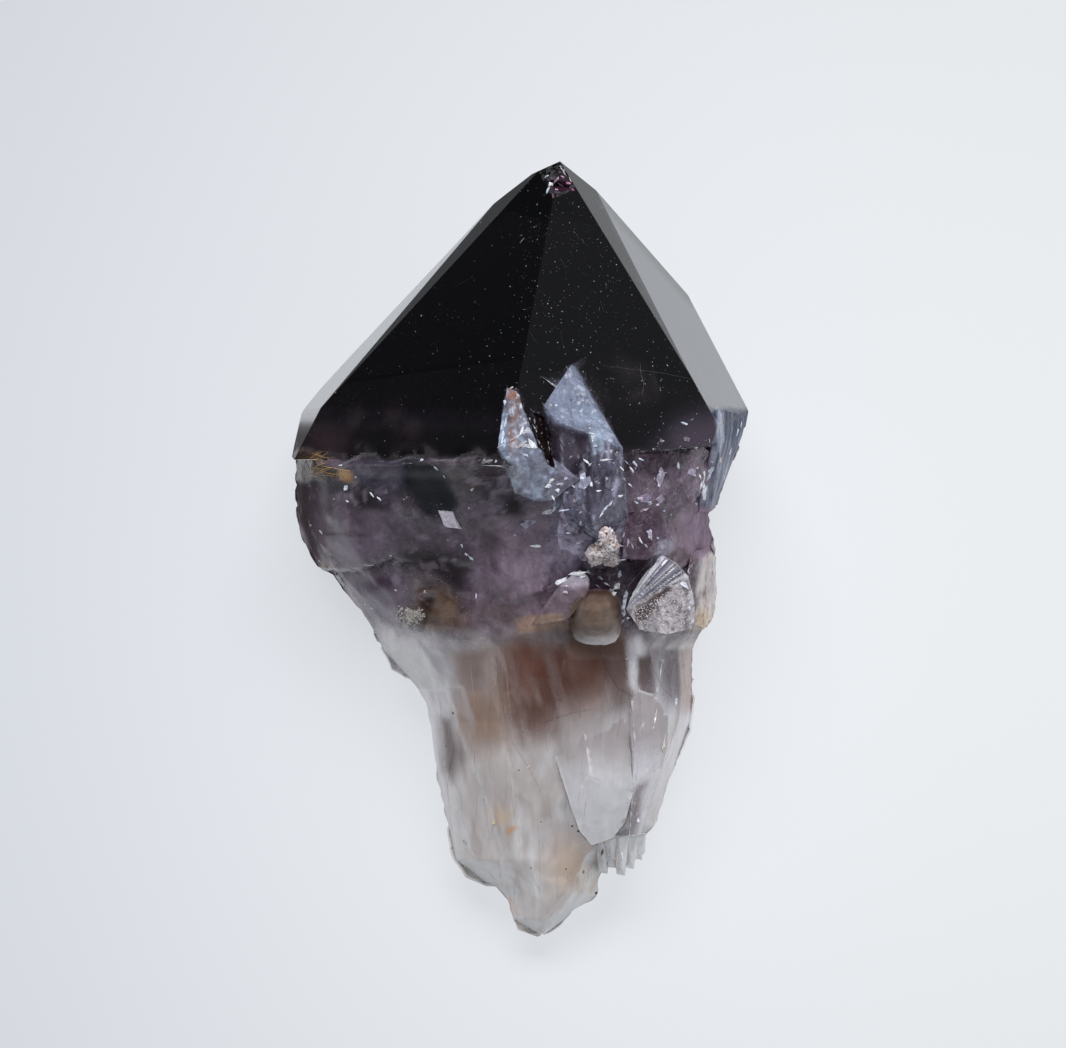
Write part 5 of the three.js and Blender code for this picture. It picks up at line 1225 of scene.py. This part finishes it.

# dust and scratches on the smooth faces; the same heap also takes threads, seams and fibres below, and a few bright
# lines that are painted highlights
dust_and_highlight_lines = Heap()
placed = 0
while placed < 1300:
    x, y = rng.uniform(330, 712), rng.uniform(180, 455)
    weight = 0.22 + 0.5 * (x > 520) + 0.45 * math.exp(-(((x - 578) / 46) ** 2 + ((y - 285) / 60) ** 2)) + 0.25 * math.exp(-(((x - 520) / 30) ** 2 + ((y - 320) / 60) ** 2))
    if rng.random() > weight:
        continue
    hit, normal = touch(x, y)
    placed += 1
    if hit is None or normal.dot(toward) < 0.3:
        continue
    r = (0.03 + 0.09 * rng.random() ** 3.5) / 1000
    dust_and_highlight_lines.grain(hit, r, srgb(170, 180, 196) * rng.uniform(0.3, 1.2), 0.6, normal)
for points, width, colour in (
    ([(600, 365), (630, 369), (662, 373), (692, 379)], 0.07, srgb(150, 154, 164)), ([(596, 369), (620, 371), (648, 372)], 0.04, srgb(90, 88, 92)),
    ([(640, 363), (641, 374), (644, 384), (642, 396)], 0.12, srgb(120, 118, 124)), ([(636, 370), (650, 376)], 0.06, srgb(100, 98, 104)),
    ([(529, 330), (536, 342)], 0.04, srgb(110, 110, 116)), ([(560, 258), (566, 268)], 0.05, srgb(120, 126, 136)), ([(474, 300), (480, 306)], 0.04, srgb(100, 100, 106)),
    ([(455, 287), (470, 278)], 0.04, srgb(90, 90, 96)), ([(520, 243), (524, 238)], 0.12, srgb(190, 186, 186)), ([(600, 300), (604, 312)], 0.04, srgb(110, 116, 124)),
    ([(612, 334), (624, 330)], 0.03, srgb(90, 96, 104)), ([(575, 232), (580, 240)], 0.05, srgb(130, 136, 146)), ([(430, 345), (440, 341)], 0.03, srgb(80, 80, 84)),
    ([(350, 400), (358, 396)], 0.03, srgb(84, 80, 84)), ([(560, 330), (563, 344)], 0.03, srgb(100, 104, 112)), ([(586, 372), (584, 384)], 0.08, srgb(140, 148, 164)),
    # pale threads in the amber corner and along broken edges
    ([(300, 476), (306, 469), (312, 463), (318, 460)], 0.22, srgb(236, 216, 184)), ([(301, 461), (308, 464), (318, 468)], 0.20, srgb(226, 200, 160)), ([(306, 461), (310, 470)], 0.16, srgb(200, 166, 120)),
    ([(312, 472), (318, 465), (330, 462)], 0.14, srgb(214, 180, 130)), ([(302, 480), (312, 478), (326, 480)], 0.14, srgb(170, 130, 84)), ([(322, 466), (334, 468), (350, 471)], 0.16, srgb(226, 188, 134)),
    ([(318, 470), (332, 474), (346, 474)], 0.18, srgb(220, 180, 124)), ([(298, 466), (310, 472), (322, 474)], 0.14, srgb(196, 156, 106)), ([(340, 472), (348, 478)], 0.20, srgb(232, 194, 132)),
    ([(404, 457), (424, 460), (436, 467), (446, 479)], 0.10, srgb(110, 108, 120)), ([(352, 462), (360, 474), (368, 486)], 0.08, srgb(100, 96, 108)),
    ([(319, 531), (329, 535), (344, 534), (358, 538), (372, 535)], 0.04, srgb(70, 58, 66)), ([(402, 578), (424, 576), (440, 580), (452, 588)], 0.10, srgb(120, 112, 116)),
    ([(439, 592), (452, 600), (464, 612), (472, 628)], 0.06, srgb(60, 46, 40)), ([(524, 622), (545, 602), (566, 590)], 0.10, srgb(190, 164, 170)), ([(563, 624), (572, 606), (587, 592)], 0.10, srgb(176, 146, 124)),
    # bright lines along the fan's edges: painted highlights
    ([(624, 606), (628, 586), (642, 570), (656, 556)], 0.12, srgb(176, 180, 196)), ([(626, 609), (650, 595), (675, 584), (690, 580)], 0.12, srgb(190, 192, 204)), ([(662, 556), (676, 563), (689, 577)], 0.12, srgb(186, 186, 198)),
    ([(668, 560), (682, 578)], 0.06, srgb(150, 150, 160)), ([(721, 410), (724, 424), (722, 446), (716, 470), (711, 494)], 0.16, srgb(150, 156, 176)),
    ([(732, 414), (728, 440), (720, 468)], 0.08, srgb(150, 154, 172)), ([(738, 416), (733, 444), (724, 474)], 0.08, srgb(96, 98, 116)), ([(727, 412), (725, 440), (716, 480)], 0.06, srgb(90, 92, 110)),
    ([(544, 405), (553, 418), (566, 425), (592, 433), (610, 441), (621, 448)], 0.10, srgb(170, 184, 206)), ([(571, 366), (584, 386), (598, 409), (621, 447)], 0.10, srgb(172, 184, 204)),
    ([(571, 366), (557, 386), (545, 405)], 0.08, srgb(170, 180, 200)), ([(621, 450), (622, 480), (626, 514)], 0.10, srgb(140, 146, 166)), ([(592, 436), (592, 470), (594, 510)], 0.08, srgb(120, 126, 146)),
    # seams down the root
    ([(492, 650), (494, 700), (506, 742)], 0.10, srgb(214, 190, 160)), ([(503, 650), (509, 700), (511, 735)], 0.08, srgb(206, 186, 168)), ([(540, 652), (536, 684), (533, 716)], 0.07, srgb(150, 120, 104)),
    ([(496, 655), (500, 690), (507, 728)], 0.06, srgb(96, 70, 58)), ([(539, 716), (541, 724), (554, 719), (572, 713), (592, 709)], 0.06, srgb(104, 84, 76)), ([(600, 652), (606, 668), (618, 688), (632, 696)], 0.08, srgb(70, 50, 48)),
    # painted highlight: bright lines where a curved face high on the root's right catches the light
    ([(626, 652), (634, 672), (633, 692)], 0.22, srgb(250, 250, 253)), ([(631, 650), (638, 668), (636, 690)], 0.12, srgb(240, 240, 246)), ([(613, 650), (624, 668), (631, 690)], 0.06, srgb(196, 180, 184)),
    ([(646, 655), (650, 680), (641, 702), (632, 732), (634, 770)], 0.08, srgb(206, 196, 216)), ([(682, 652), (686, 690), (677, 720), (666, 760)], 0.10, srgb(226, 204, 184)),
    ([(455, 742), (450, 768), (447, 790)], 0.06, srgb(120, 104, 100)), ([(512, 742), (530, 770), (541, 792)], 0.06, srgb(126, 104, 92)), ([(556, 650), (549, 680), (545, 706)], 0.05, srgb(150, 112, 96)),
    ([(660, 660), (668, 676), (672, 700)], 0.06, srgb(196, 188, 196)), ([(650, 662), (664, 690), (676, 700)], 0.05, srgb(84, 72, 78)), ([(470, 660), (474, 700), (466, 760)], 0.07, srgb(214, 212, 212)),
    ([(444, 660), (452, 700), (448, 740)], 0.07, srgb(220, 220, 222)), ([(458, 800), (470, 850), (496, 880)], 0.08, srgb(224, 222, 222)), ([(506, 880), (512, 905), (530, 925)], 0.06, srgb(222, 214, 208)),
    ([(493, 657), (496, 690), (500, 728)], 0.12, srgb(196, 184, 176)), ([(506, 656), (508, 690), (512, 726)], 0.10, srgb(190, 170, 154)), ([(500, 660), (503, 700)], 0.08, srgb(140, 122, 112)),
    ([(557, 764), (564, 786), (571, 809), (579, 831), (591, 846)], 0.14, srgb(190, 160, 120)), ([(591, 846), (604, 843), (614, 838), (626, 822), (634, 792), (631, 752)], 0.16, srgb(214, 214, 218)),
    ([(668, 716), (667, 748), (656, 784), (644, 812)], 0.16, srgb(216, 206, 202)), ([(640, 700), (640, 740), (636, 780)], 0.12, srgb(206, 202, 210)), ([(512, 760), (516, 800), (520, 850)], 0.10, srgb(206, 204, 202)),
    ([(536, 790), (540, 850), (540, 900)], 0.08, srgb(200, 198, 196)), ([(478, 760), (484, 800), (490, 840)], 0.10, srgb(200, 198, 198)), ([(440, 700), (444, 760), (452, 830)], 0.10, srgb(206, 206, 208)),
):
    dust_and_highlight_lines.strand(points, width, colour)
for _ in range(22):
    x, y = rng.uniform(299, 316), rng.uniform(452, 479)
    run, dip = rng.uniform(8, 26), rng.uniform(-12, 12)
    dust_and_highlight_lines.strand([(x, y), (x + 0.5 * run, y + 0.5 * dip + rng.uniform(-3, 3)), (x + run, float(np.clip(y + dip, 452, 480)))], rng.uniform(0.07, 0.17), srgb(214, 176, 122) * rng.uniform(0.45, 1.25))
# fine fibres down the root
for x0, x1, y0, y1, count, tones in ((505, 640, 652, 735, 46, ((140, 108, 94), (66, 42, 34), (176, 152, 140))), (452, 512, 660, 760, 30, ((190, 176, 166), (106, 86, 78), (214, 206, 200))),
                                     (450, 600, 770, 900, 54, ((214, 212, 210), (146, 134, 128), (226, 224, 224)))):
    for _ in range(count):
        x, y, run, lean_ = rng.uniform(x0, x1), rng.uniform(y0, y1), rng.uniform(8, 38), rng.uniform(-0.22, 0.16)
        dust_and_highlight_lines.strand([(x, y), (x + lean_ * run * 0.5 + rng.uniform(-1, 1), y + run * 0.5), (x + lean_ * run, y + run)], rng.uniform(0.03, 0.09), srgb(*tones[int(rng.integers(3))]), 0.0)


# ---------------------------------------------------------------- materials
class Nodes:
    def __init__(self, name):
        self.m = bpy.data.materials.new(name)
        self.m.use_nodes = True
        self.t = self.m.node_tree
        self.t.nodes.clear()

    def put(self, n, socket, v):
        s = n.inputs[socket]
        if isinstance(v, bpy.types.NodeSocket):
            self.t.links.new(v, s)
        else:
            s.default_value = v

    def math(self, how, a, b=None, c=None, clamp=False):
        n = self.t.nodes.new("ShaderNodeMath")
        n.operation, n.use_clamp = how, clamp
        for i, v in enumerate((a, b, c)):
            if v is not None:
                self.put(n, i, v)
        return n.outputs[0]

    def vmath(self, how, a, b=None, out=0):
        n = self.t.nodes.new("ShaderNodeVectorMath")
        n.operation = how
        self.put(n, 0, a)
        if b is not None:
            self.put(n, 1, b)
        return n.outputs[out]

    def mix(self, factor, a, b, how="MIX"):
        n = self.t.nodes.new("ShaderNodeMix")
        n.data_type, n.blend_type = "RGBA", how
        self.put(n, 0, factor)
        self.put(n, 6, a)
        self.put(n, 7, b)
        return n.outputs[2]

    def ramp(self, v, *stops):
        n = self.t.nodes.new("ShaderNodeValToRGB")
        self.put(n, 0, v)
        e = n.color_ramp.elements
        while len(e) < len(stops):
            e.new(0.5)
        for s, (at, c) in zip(e, stops):
            s.position = at
            s.color = (c, c, c, 1) if isinstance(c, (int, float)) else (*c, 1)
        return n.outputs[0]

    def range(self, v, a, b, c=0.0, d=1.0):
        n = self.t.nodes.new("ShaderNodeMapRange")
        for i, q in enumerate((v, a, b, c, d)):
            self.put(n, i, q)
        return n.outputs[0]

    def attribute(self, name):
        n = self.t.nodes.new("ShaderNodeAttribute")
        n.attribute_type, n.attribute_name = "GEOMETRY", name
        return n

    def noise(self, vector, scale, detail=4.0, roughness=0.5, distortion=0.0):
        n = self.t.nodes.new("ShaderNodeTexNoise")
        for key, v in (("Vector", vector), ("Scale", scale), ("Detail", detail), ("Roughness", roughness), ("Distortion", distortion)):
            self.put(n, key, v)
        return n.outputs["Fac"]

    def voronoi(self, vector, scale, feature="F1"):
        n = self.t.nodes.new("ShaderNodeTexVoronoi")
        n.feature = feature
        self.put(n, "Vector", vector)
        self.put(n, "Scale", scale)
        return n

    def facets(self, vector, scale, slope):
        """A relief of small flat facets, each with its own slope."""
        v = self.voronoi(vector, scale)
        local = self.vmath("SUBTRACT", vector, v.outputs["Position"])
        lean = self.vmath("SUBTRACT", v.outputs["Color"], (0.5, 0.5, 0.5))
        return self.math("MULTIPLY", self.vmath("DOT_PRODUCT", local, lean, "Value"), slope)

    def place(self):
        return self.t.nodes.new("ShaderNodeTexCoord").outputs["Object"]

    def mapped(self, vector, scale=(1, 1, 1), turn=(0, 0, 0)):
        n = self.t.nodes.new("ShaderNodeMapping")
        self.put(n, "Vector", vector)
        n.inputs["Scale"].default_value = scale
        n.inputs["Rotation"].default_value = turn
        return n.outputs[0]

    def bump(self, height, strength, distance, normal=None):
        n = self.t.nodes.new("ShaderNodeBump")
        self.put(n, "Height", height)
        self.put(n, "Strength", strength)
        self.put(n, "Distance", distance)
        if normal is not None:
            self.put(n, "Normal", normal)
        return n.outputs[0]

    def finish(self, shader, volume=None):
        n = self.t.nodes.new("ShaderNodeOutputMaterial")
        self.t.links.new(shader, n.inputs["Surface"])
        if volume is not None:
            self.t.links.new(volume, n.inputs["Volume"])
        return self.m


def principled(nd, **values):
    p = nd.t.nodes.new("ShaderNodeBsdfPrincipled")
    for key, v in values.items():
        nd.put(p, key.replace("_", " "), v)
    return p


nd = Nodes("amethyst")
at = nd.place()
base = nd.attribute("tint").outputs["Color"]
clear_in = nd.attribute("clear").outputs["Fac"]
rough_in = nd.attribute("rough").outputs["Fac"]
headness = nd.attribute("headness").outputs["Fac"]
rootness_in = nd.attribute("rootness").outputs["Fac"]
sparkle_in = nd.attribute("sparkle").outputs["Fac"]
restless = nd.math("SUBTRACT", 1.0, nd.attribute("calm").outputs["Fac"], clamp=True)
broken = nd.math("SUBTRACT", 1.0, headness, clamp=True)
middle = nd.math("MULTIPLY", broken, nd.math("SUBTRACT", 1.0, rootness_in, clamp=True))
cloud = nd.noise(at, 210.0, 3.0, 0.62, 0.8)
wisp = nd.noise(nd.mapped(at, (1.0, 0.45, 1.0), (0.2, 0.1, 0.5)), 420.0, 3.0, 0.66, 1.6)
fine = nd.noise(at, 1700.0, 2.0, 0.65)
strands = nd.noise(nd.mapped(at, (620, 62, 620)), 1.0, 2.0, 0.6, 0.5)
# clouds and wisps in the colour, stronger in the middle than in the milky root
mottle = nd.math("MULTIPLY", nd.range(cloud, 0.3, 0.7, 0.68, 1.34), nd.math("MULTIPLY", nd.range(wisp, 0.3, 0.72, 0.74, 1.34), nd.range(fine, 0.3, 0.7, 0.88, 1.14)))
veined = nd.math("MULTIPLY", nd.range(strands, 0.3, 0.7, 0.93, 1.06), nd.range(cloud, 0.3, 0.7, 0.95, 1.04))
amount = nd.math("MULTIPLY_ADD", nd.math("SUBTRACT", mottle, 1.0), nd.math("MULTIPLY", middle, nd.math("MULTIPLY_ADD", restless, 0.35, 0.65)), 1.0)
amount = nd.math("MULTIPLY", amount, nd.math("MULTIPLY_ADD", nd.math("SUBTRACT", veined, 1.0), rootness_in, 1.0))
colour = nd.vmath("SCALE", base)
nd.put(colour.node, "Scale", amount)
# frost: pale grains where the surface glitters
frost_cells = nd.voronoi(at, 2600.0)
frost = nd.math("MULTIPLY", nd.range(frost_cells.outputs["Distance"], 0.32, 0.12), nd.range(nd.noise(at, 700.0, 1.0, 0.6), 0.52, 0.68))
frost = nd.math("MULTIPLY", frost, sparkle_in, clamp=True)
colour = nd.mix(nd.math("MULTIPLY", frost, 0.3), colour, (0.50, 0.52, 0.60, 1))
# dust on the smooth faces
motes = nd.voronoi(at, 1500.0)
lone = nd.math("GREATER_THAN", nd.vmath("DOT_PRODUCT", motes.outputs["Color"], (1.0, 0.0, 0.0), "Value"), 0.80)
mote = nd.math("MULTIPLY", nd.range(motes.outputs["Distance"], 0.17, 0.07), lone)
mote = nd.math("MULTIPLY", mote, nd.math("MULTIPLY", headness, nd.range(nd.noise(at, 160.0, 2.0), 0.40, 0.62)), clamp=True)
haze = nd.math("MULTIPLY", nd.range(fine, 0.55, 0.85), nd.math("MULTIPLY", headness, 0.05))
colour = nd.mix(nd.math("MAXIMUM", nd.math("MULTIPLY", mote, 0.5), haze), colour, (0.34, 0.36, 0.42, 1))
clearness = nd.math("MULTIPLY", clear_in, nd.math("MULTIPLY_ADD", nd.math("MAXIMUM", nd.math("MULTIPLY", mote, 0.8), nd.math("MULTIPLY", frost, 0.8)), -1.0, 1.0))
clearness = nd.math("MULTIPLY", clearness, nd.math("SUBTRACT", 1.0, haze))
roughness = nd.math("ADD", rough_in, nd.math("MULTIPLY", nd.math("MULTIPLY", broken, nd.range(wisp, 0.45, 0.75)), 0.10))
small_facets = nd.math("MULTIPLY", nd.facets(at, 1500.0, 1.3), sparkle_in)
large_facets = nd.math("MULTIPLY", nd.facets(at, 560.0, 1.3), sparkle_in)
relief = nd.math("ADD", small_facets, large_facets)
relief = nd.math("ADD", relief, nd.math("MULTIPLY", nd.math("MULTIPLY", cloud, nd.math("MULTIPLY", middle, restless)), 0.00040))
relief = nd.math("ADD", relief, nd.math("MULTIPLY", nd.math("MULTIPLY", strands, rootness_in), 0.00010))
relief = nd.math("ADD", relief, nd.math("MULTIPLY", nd.math("MULTIPLY", fine, nd.math("MULTIPLY", broken, restless)), 0.000016))
normal = nd.bump(relief, 1.0, 1.0)
p = principled(nd, Base_Color=colour, Roughness=roughness, IOR=1.544, Transmission_Weight=clearness, Normal=normal,
               Specular_IOR_Level=nd.math("MULTIPLY_ADD", nd.attribute("dull").outputs["Fac"], -0.45, 0.5))
absorb = nd.t.nodes.new("ShaderNodeVolumeAbsorption")
absorb.inputs["Color"].default_value = (0.30, 0.14, 0.34, 1)
absorb.inputs["Density"].default_value = 24.0
me.materials.append(nd.finish(p.outputs[0], absorb.outputs[0]))
for m in kind_materials:
    bpy.data.materials.remove(m)
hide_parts("amethyst_point")
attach(crystal, "root")

nd = Nodes("quartz_flakes_and_glints")
at = nd.place()
base = nd.attribute("tint").outputs["Color"]
grain = nd.noise(at, 2400.0, 4.0, 0.6)
colour = nd.vmath("SCALE", base)
nd.put(colour.node, "Scale", nd.range(grain, 0.3, 0.7, 0.95, 1.4))
p = principled(nd, Base_Color=colour, Roughness=nd.range(grain, 0.3, 0.7, 0.06, 0.3), IOR=1.544, Transmission_Weight=0.05,
               Normal=nd.bump(nd.facets(at, 2600.0, 1.2), 1.0, 1.0))
flakes_and_glints.build("quartz_flakes_and_glints", nd.finish(p.outputs[0]))

nd = Nodes("mineral_crust")
at = nd.place()
base = nd.attribute("tint").outputs["Color"]
grain = nd.noise(at, 3200.0, 5.0, 0.65)
stain = nd.noise(at, 900.0, 3.0, 0.6)
colour = nd.vmath("SCALE", base)
nd.put(colour.node, "Scale", nd.math("MULTIPLY", nd.range(grain, 0.3, 0.7, 0.75, 1.2), nd.range(stain, 0.3, 0.7, 0.9, 1.1)))
p = principled(nd, Base_Color=colour, Roughness=nd.range(stain, 0.35, 0.65, 0.2, 0.6), IOR=1.544, Normal=nd.bump(grain, 0.6, 0.00012))
crust.build("mineral_crust", nd.finish(p.outputs[0]))

nd = Nodes("dust_scratches_and_highlight_lines")
at = nd.place()
base = nd.attribute("tint").outputs["Color"]
colour = nd.vmath("SCALE", base)
nd.put(colour.node, "Scale", nd.range(nd.noise(at, 2600.0, 3.0), 0.3, 0.7, 0.6, 1.2))
p = principled(nd, Base_Color=colour, Roughness=0.55)
dust_and_highlight_lines.build("dust_scratches_and_highlight_lines", nd.finish(p.outputs[0]))

# ---------------------------------------------------------------- floor, light and world
floor = new_object("floor", [(-4, -4, 0), (4, -4, 0), (4, 4, 0), (-4, 4, 0)], [(0, 1, 2, 3)])
floor.location.z = -0.0002
nd = Nodes("floor_tone_and_painted_light")
at = nd.place()
across = nd.t.nodes.new("ShaderNodeSeparateXYZ")
nd.put(across, 0, at)
# painted light on the floor: its tone brightens from left to right
tone = nd.mix(nd.range(across.outputs[0], -0.11, 0.11), (0.70, 0.73, 0.785, 1), (0.885, 0.905, 0.925, 1))
soft = nd.noise(at, 9.0, 3.0)
tone = nd.mix(nd.math("MULTIPLY", soft, 0.25), tone, (0.80, 0.82, 0.84, 1))
# painted shade: the floor darkens away from the middle
tone = nd.mix(nd.range(nd.vmath("LENGTH", at, out=1), 0.05, 0.16, 0.0, 0.12), tone, (0, 0, 0, 1))
p = principled(nd, Base_Color=nd.mix(0.76, tone, (0, 0, 0, 1)), Roughness=0.8, Specular_IOR_Level=0.15, Emission_Color=tone, Emission_Strength=0.775)
floor.data.materials.append(nd.finish(p.outputs[0]))
nd.m.cycles.emission_sampling = "NONE"


def softbox(name, at, to, size, watts, colour=(1, 1, 1)):
    lamp = bpy.data.lights.new(name, "AREA")
    lamp.shape, lamp.size, lamp.size_y = "RECTANGLE", size[0], size[1]
    lamp.energy, lamp.color = watts, colour
    ob = bpy.data.objects.new(name, lamp)
    bpy.context.scene.collection.objects.link(ob)
    ob.location = at
    ob.rotation_euler = (Vector(to) - Vector(at)).to_track_quat("-Z", "Y").to_euler()
    return ob


mid = (0.0, 0.0, 0.03)
softbox("light_top", (0.0, 0.95, 1.5), mid, (1.7, 0.6), 31.0, (0.99, 0.99, 1.0))
softbox("light_front", (-0.2, -1.5, 1.15), mid, (2.0, 1.0), 2.5, (1.0, 0.99, 0.98))
softbox("light_right", (1.6, -0.3, 0.75), mid, (1.0, 1.6), 3.5, (0.96, 0.98, 1.0))
softbox("light_left", (-1.6, -0.3, 0.75), mid, (1.0, 1.6), 3.5, (0.96, 0.98, 1.0))

world = bpy.data.worlds.new("studio")
bpy.context.scene.world = world
world.use_nodes = True
wt = world.node_tree
wt.nodes.clear()
where = wt.nodes.new("ShaderNodeTexCoord")
turn = wt.nodes.new("ShaderNodeSeparateXYZ")
wt.links.new(where.outputs["Generated"], turn.inputs[0])


def world_range(v, a, b, c, d):
    n = wt.nodes.new("ShaderNodeMapRange")
    wt.links.new(v, n.inputs[0])
    for k, q in zip((1, 2, 3, 4), (a, b, c, d)):
        n.inputs[k].default_value = q
    return n.outputs[0]


def world_times(a, b):
    n = wt.nodes.new("ShaderNodeMath")
    n.operation = "MULTIPLY"
    wt.links.new(a, n.inputs[0])
    wt.links.new(b, n.inputs[1])
    return n.outputs[0]


# a pale tent low round the front and sides, dark overhead and behind
tent = world_times(world_range(turn.outputs[2], 0.12, 0.46, 1.05, 0.07), world_range(turn.outputs[1], 0.18, 0.5, 1.0, 0.11))
tent = world_times(tent, world_range(turn.outputs[0], -0.8, 0.6, 0.30, 1.05))
glow = wt.nodes.new("ShaderNodeMath")
glow.operation = "MAXIMUM"
wt.links.new(tent, glow.inputs[0])
wt.links.new(world_range(turn.outputs[0], -0.2, 0.6, 0.07, 0.26), glow.inputs[1])
tent = glow.outputs[0]
dim = wt.nodes.new("ShaderNodeBackground")
dim.inputs[0].default_value = (0.90, 0.95, 1.02, 1)
wt.links.new(tent, dim.inputs[1])
pale = wt.nodes.new("ShaderNodeBackground")
pale.inputs[0].default_value = (0.78, 0.81, 0.85, 1)
path = wt.nodes.new("ShaderNodeLightPath")
pick = wt.nodes.new("ShaderNodeMixShader")
wo = wt.nodes.new("ShaderNodeOutputWorld")
wt.links.new(path.outputs["Is Camera Ray"], pick.inputs[0])
wt.links.new(dim.outputs[0], pick.inputs[1])
wt.links.new(pale.outputs[0], pick.inputs[2])
wt.links.new(pick.outputs[0], wo.inputs[0])

sc = bpy.context.scene
sc.view_settings.view_transform = "Standard"
sc.view_settings.look = "None"
sc.cycles.use_denoising = True
sc.cycles.max_bounces = 6
sc.cycles.transmission_bounces = 5
sc.cycles.glossy_bounces = 2
sc.cycles.diffuse_bounces = 2
sc.cycles.caustics_refractive = True
sc.cycles.caustics_reflective = False
sc.cycles.sample_clamp_indirect = 4.0
sc.cycles.seed = 3

bpy.context.view_layer.update()
